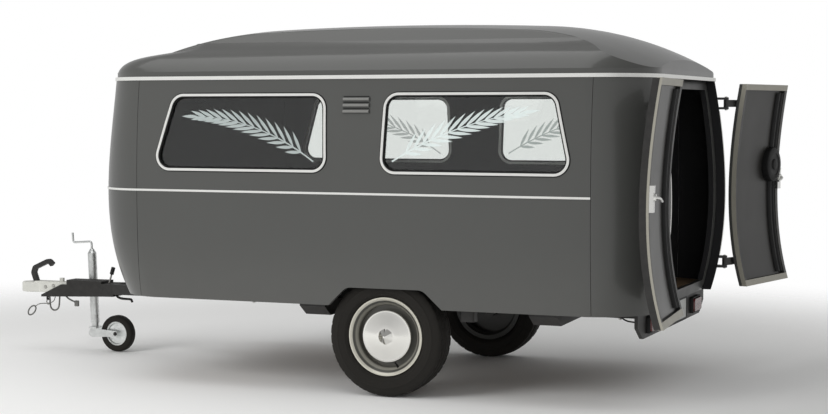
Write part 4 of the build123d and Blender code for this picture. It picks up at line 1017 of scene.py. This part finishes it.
# Section of the strip: distance from the skin's face inwards, distance off the edge
EDGE_SECTION = ((0.0002, 0.0), (0.0002, -0.0008), (0.029, -0.0008), (0.029, 0.0))
LIP_Y, LIP_R = 0.564, 0.0030
LIP_HEIGHTS = [z / 100 for z in range(60, 133, 3)]


def add_edge_shade_strip(name, side):
    """Thin black strip on a door's free edge, from the skin's face inwards, as painted shade."""
    door = doors[side]
    skin = surface_of(f"{side}_door_skin")
    levels = 40
    points = []
    for k in range(levels + 1):
        z = EDGE_LOW_Z + EDGE_LENGTH * k / levels
        start = door.turn @ Vector((HINGE_X - PROBE, door.sign * (EDGE_Y + EDGE_IN), z))
        hit = on_face(skin, start, door.inward)[0] - door.outer_way * EDGE_IN
        for lift, out in EDGE_SECTION:
            points.append(hit + door.inward * lift + door.outer_way * out)
    faces = ring_faces(levels + 1, len(EDGE_SECTION), closed=False)
    return add_piece(name, points, faces, HINGE_BLACK, f"{side}_door", smooth=False)


add_edge_shade_strip("left_door_edge", "left")
for side, sign in SIDES:
    corner = surface_of(f"rear_corner_{side}")
    behind = [Vector((HINGE_X - PROBE, sign * LIP_Y, z)) for z in LIP_HEIGHTS]
    line = [on_face(corner, start, Vector((1, 0, 0)))[0] for start in behind]
    add_tube(f"{side}_doorway_lip", line, LIP_R, CHROME, "trailer", 4)


# Hinges: domed pin heads above and below each pair of cheeks
PIN_ENDS = ((0.5298, -1), (0.5902, 1), (1.3298, -1), (1.3902, 1))
PIN_HEAD = ((0.0075, -0.0005), (0.0075, 0.0022), (0.0060, 0.0040), (0.0020, 0.0048))
for side, sign in SIDES:
    ends = [(Vector((HINGE_X, sign * HINGE_Y, z)), Vector((0, 0, way))) for z, way in PIN_ENDS]
    add_turned(f"{side}_hinge_pin_heads", PIN_HEAD, ends, STEEL, "trailer", 24)

# Rear: lamp surrounds, plate frame and screws
REAR_X = AXLE_X - 1.166
PLATE_Z = 0.3605
LAMP_RING = ((0.0, 0.0002), (0.0, 0.016), (0.0015, 0.0185), (0.0055, 0.0185), (0.0057, 0.0002))
PLATE_RING = (
    (0.0, 0.0002), (0.0, 0.0050), (0.0015, 0.0062), (0.0095, 0.0062), (0.0100, 0.0034),
    (0.0060, 0.0031), (0.0060, 0.0002),
)
LAMP_HALF, LAMP_CORNER, LAMP_Y = (0.081, 0.040), 0.010, 0.425
PLATE_HALF, PLATE_CORNER = (0.2665, 0.0568), 0.012
PLATE_FACE_X = REAR_X - 0.003
SCREW = ((0.0058, -0.0002), (0.0058, 0.0010), (0.0040, 0.0026), (0.0012, 0.0030))
SCREWS_Y = (-0.205, 0.205)
for side, sign in SIDES:
    add_rear_ring(f"{side}_lamp_surround", LAMP_HALF, (sign * LAMP_Y, PLATE_Z), LAMP_RING, LAMP_CORNER)
add_rear_ring("plate_frame", PLATE_HALF, (0.0, PLATE_Z), PLATE_RING, PLATE_CORNER)
screws = [(Vector((PLATE_FACE_X, y, PLATE_Z)), Vector((-1, 0, 0))) for y in SCREWS_Y]
add_turned("plate_screws", SCREW, screws, STEEL, "trailer", 20)


# Nose: bolts through the coupling, strap, brake link, bracket below the front and the jack's fittings
def bent(y, *places):
    """Route at one distance from the middle, by the distance ahead of the axle and the height."""
    return [Vector((AXLE_X + x, y, z)) for x, z in places]


head = surface_of("coupling_head")
add_bolts(
    "coupling_bolts",
    [on_face(head, Vector((AXLE_X + x, sign * 0.3, z)), Vector((0, -sign, 0)))
     for x, z in ((2.300, 0.360), (2.352, 0.352)) for _, sign in SIDES],
    0.0075, STEEL, "trailer",
)
add_tube(
    "coupling_strap",
    bent(0.012, (2.338, 0.304), (2.336, 0.262), (2.331, 0.232), (2.306, 0.220), (2.281, 0.234),
         (2.275, 0.262), (2.273, 0.306)),
    0.0046, WIRE, "trailer", 10,
)
add_tube(
    "brake_link", bent(0.030, (2.226, 0.312), (2.210, 0.296), (2.182, 0.283), (2.160, 0.276)),
    0.0044, WIRE, "trailer", 8,
)
END_CORNERS = ((0.024, 0.253), (0.036, 0.253), (0.036, 0.285), (0.024, 0.285))
corners = [Vector((AXLE_X + x, y, z)) for x in (2.138, 2.164) for y, z in END_CORNERS]
link_end = add_piece("brake_link_end", corners, ring_faces(2, 4, False), WIRE, "trailer")
edge_round = link_end.modifiers.new("edge_round", "BEVEL")
edge_round.width, edge_round.segments = 0.003, 2
edge_round.limit_method, edge_round.angle_limit = "ANGLE", radians(30)
add_tube(
    "front_bracket",
    bent(0.052, (1.900, 0.345), (1.884, 0.322), (1.862, 0.311), (1.830, 0.309), (1.800, 0.309),
         (1.789, 0.306), (1.786, 0.292)),
    0.0065, BLACK, "trailer", 10,
)
add_bolts(
    "jack_axle_bolts",
    [(JACK_WHEEL + Vector((0, sign * 0.0335, 0)), Vector((0, sign, 0))) for _, sign in SIDES],
    0.0080, HINGE_BLACK, "jack_fork",
)


# Cords: the brake cable with its snap hook, and the lamp cable behind the left wheel
def add_snap_hook(name, foot, tip, wide, radius):
    """Closed wire hook between two points, in the plane that faces sideways."""
    along = (tip - foot) / 2
    across = along.cross(Vector((0, 1, 0))).normalized() * (wide / 2)
    middle = (tip + foot) / 2
    steps, sides = 48, 12
    points = []
    for k in range(steps):
        angle = 2 * pi * k / steps
        here = middle + along * cos(angle) + across * sin(angle)
        ahead = (across * cos(angle) - along * sin(angle)).normalized()
        out = ahead.cross(Vector((0, 1, 0)))
        for j in range(sides):
            turn = 2 * pi * j / sides
            points.append(here + (out * cos(turn) + Vector((0, 1, 0)) * sin(turn)) * radius)
    return add_piece(name, points, ring_faces(steps, sides), WIRE, "trailer")


BRAKE_ROUTE = [Vector((AXLE_X + x, y, z)) for x, y, z in (
    (2.290, 0.030, 0.3040), (2.291, 0.031, 0.2880), (2.304, 0.034, 0.2700), (2.338, 0.036, 0.2620),
    (2.376, 0.035, 0.2610), (2.405, 0.032, 0.2530), (2.424, 0.030, 0.2400),
)]
brake_cable = add_tube("brake_cable", BRAKE_ROUTE, 0.0025, WIRE, "trailer", 16)
snap_hook = add_snap_hook("snap_hook", *bent(0.030, (2.421, 0.2420), (2.464, 0.1960)), 0.036, 0.0040)
LAMP_ROUTE = [Vector((AXLE_X - 1.150 + x, 0.620, z)) for x, z in (
    (0.074, 0.4300), (0.073, 0.4160), (0.064, 0.4000), (0.045, 0.3890), (0.022, 0.3850), (0.000, 0.3840),
)]
lamp_cable = add_tube("lamp_lead", LAMP_ROUTE, 0.0035, SEAL, "trailer", 16)
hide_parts("lamp_cable")


# Underside: bolts through the axle, the rails and the outriggers
under = surface_of("axle_beam", "chassis_rails", "outriggers")
add_bolts(
    "frame_bolts",
    [on_face(under, Vector((AXLE_X + x, sign * y, -0.5)), Vector((0, 0, 1)))
     for x, y in ((0.165, 0.300), (0.165, 0.360), (0.400, 0.340), (-0.800, 0.340), (0.900, 0.340),
                  (-1.000, 0.340), (0.400, 0.560), (-0.800, 0.560))
     for _, sign in SIDES],
    0.0090, STEEL, "trailer",
)


# Studio: pale floor that fades into a white surround, and soft light from the camera's side
LIGHTS = (
    # Name, place, size in metres, power in watts
    ("key_light", (4.0, 7.2, 4.0), 4.5, 360.0),
    ("fill_light", (-5.0, 6.0, 3.2), 4.0, 60.0),
    ("top_light", (0.6, 1.0, 5.5), 5.0, 90.0),
)
LIGHTS_AIM = Vector((-0.4, 0.0, 0.8))
FLOOR_REACH = 30.0
FLOOR_Z = -0.0005
FLOOR_FADE = (2.5, 5.5)


def white_surround():
    """White to the eye and through glass, a gradient in mirrors, dimmer as a light on surfaces."""
    world = bpy.data.worlds.new("studio")
    bpy.context.scene.world = world
    world.use_nodes = True
    tree = world.node_tree
    tree.nodes.clear()
    path = add_node(tree, "LightPath").outputs
    seen = calc(tree, "MAXIMUM", path["Is Camera Ray"], path["Is Transmission Ray"])
    height = axes(tree, add_node(tree, "TexCoord").outputs["Generated"])["Z"]
    mirrored = calc(tree, "MULTIPLY", path["Is Glossy Ray"], span(tree, height, 0.0, 0.6, 0.66, 0.30))
    lighting = calc(tree, "MULTIPLY", path["Is Diffuse Ray"], 0.45)
    level = calc(tree, "MAXIMUM", calc(tree, "MAXIMUM", seen, mirrored), lighting)
    sky = add_node(tree, "Background", Color=(1, 1, 1, 1), Strength=level)
    add_node(tree, "OutputWorld", Surface=sky.outputs[0])


def add_light(name, place, size, power):
    lamp = bpy.data.lights.new(name, "AREA")
    lamp.shape = "SQUARE"
    lamp.size = size
    lamp.energy = power
    light = bpy.data.objects.new(name, lamp)
    light.location = place
    light.rotation_euler = (LIGHTS_AIM - Vector(place)).to_track_quat("-Z", "Y").to_euler()
    light.visible_glossy = name == "top_light"
    light.visible_transmission = False
    bpy.context.scene.collection.objects.link(light)


def add_floor():
    mesh = bpy.data.meshes.new("studio_floor")
    corners = [(a * FLOOR_REACH, b * FLOOR_REACH, FLOOR_Z) for a, b in ((-1, -1), (1, -1), (1, 1), (-1, 1))]
    mesh.from_pydata(corners, [], [(0, 1, 2, 3)])
    floor = bpy.data.objects.new("studio_floor", mesh)
    bpy.context.scene.collection.objects.link(floor)
    material = bpy.data.materials.new("pale_floor")
    material.use_nodes = True
    tree = material.node_tree
    shader = tree.nodes["Principled BSDF"]
    feed(tree, shader.inputs["Base Color"], (0.92, 0.92, 0.91, 1))
    feed(tree, shader.inputs["Roughness"], 0.8)
    feed(tree, shader.inputs["Specular IOR Level"], 0.1)
    away = measure(tree, "LENGTH", place_in(tree))
    fade = add_node(tree, "MapRange", away, *FLOOR_FADE)
    fade.interpolation_type = "SMOOTHSTEP"
    gone = add_node(tree, "BsdfTransparent")
    mix = add_node(tree, "MixShader", fade.outputs["Result"], shader.outputs["BSDF"], gone.outputs[0])
    feed(tree, tree.nodes["Material Output"].inputs["Surface"], mix.outputs[0])
    mesh.materials.append(material)


white_surround()
for light in LIGHTS:
    add_light(*light)
add_floor()
bpy.context.scene.view_settings.view_transform = "Standard"
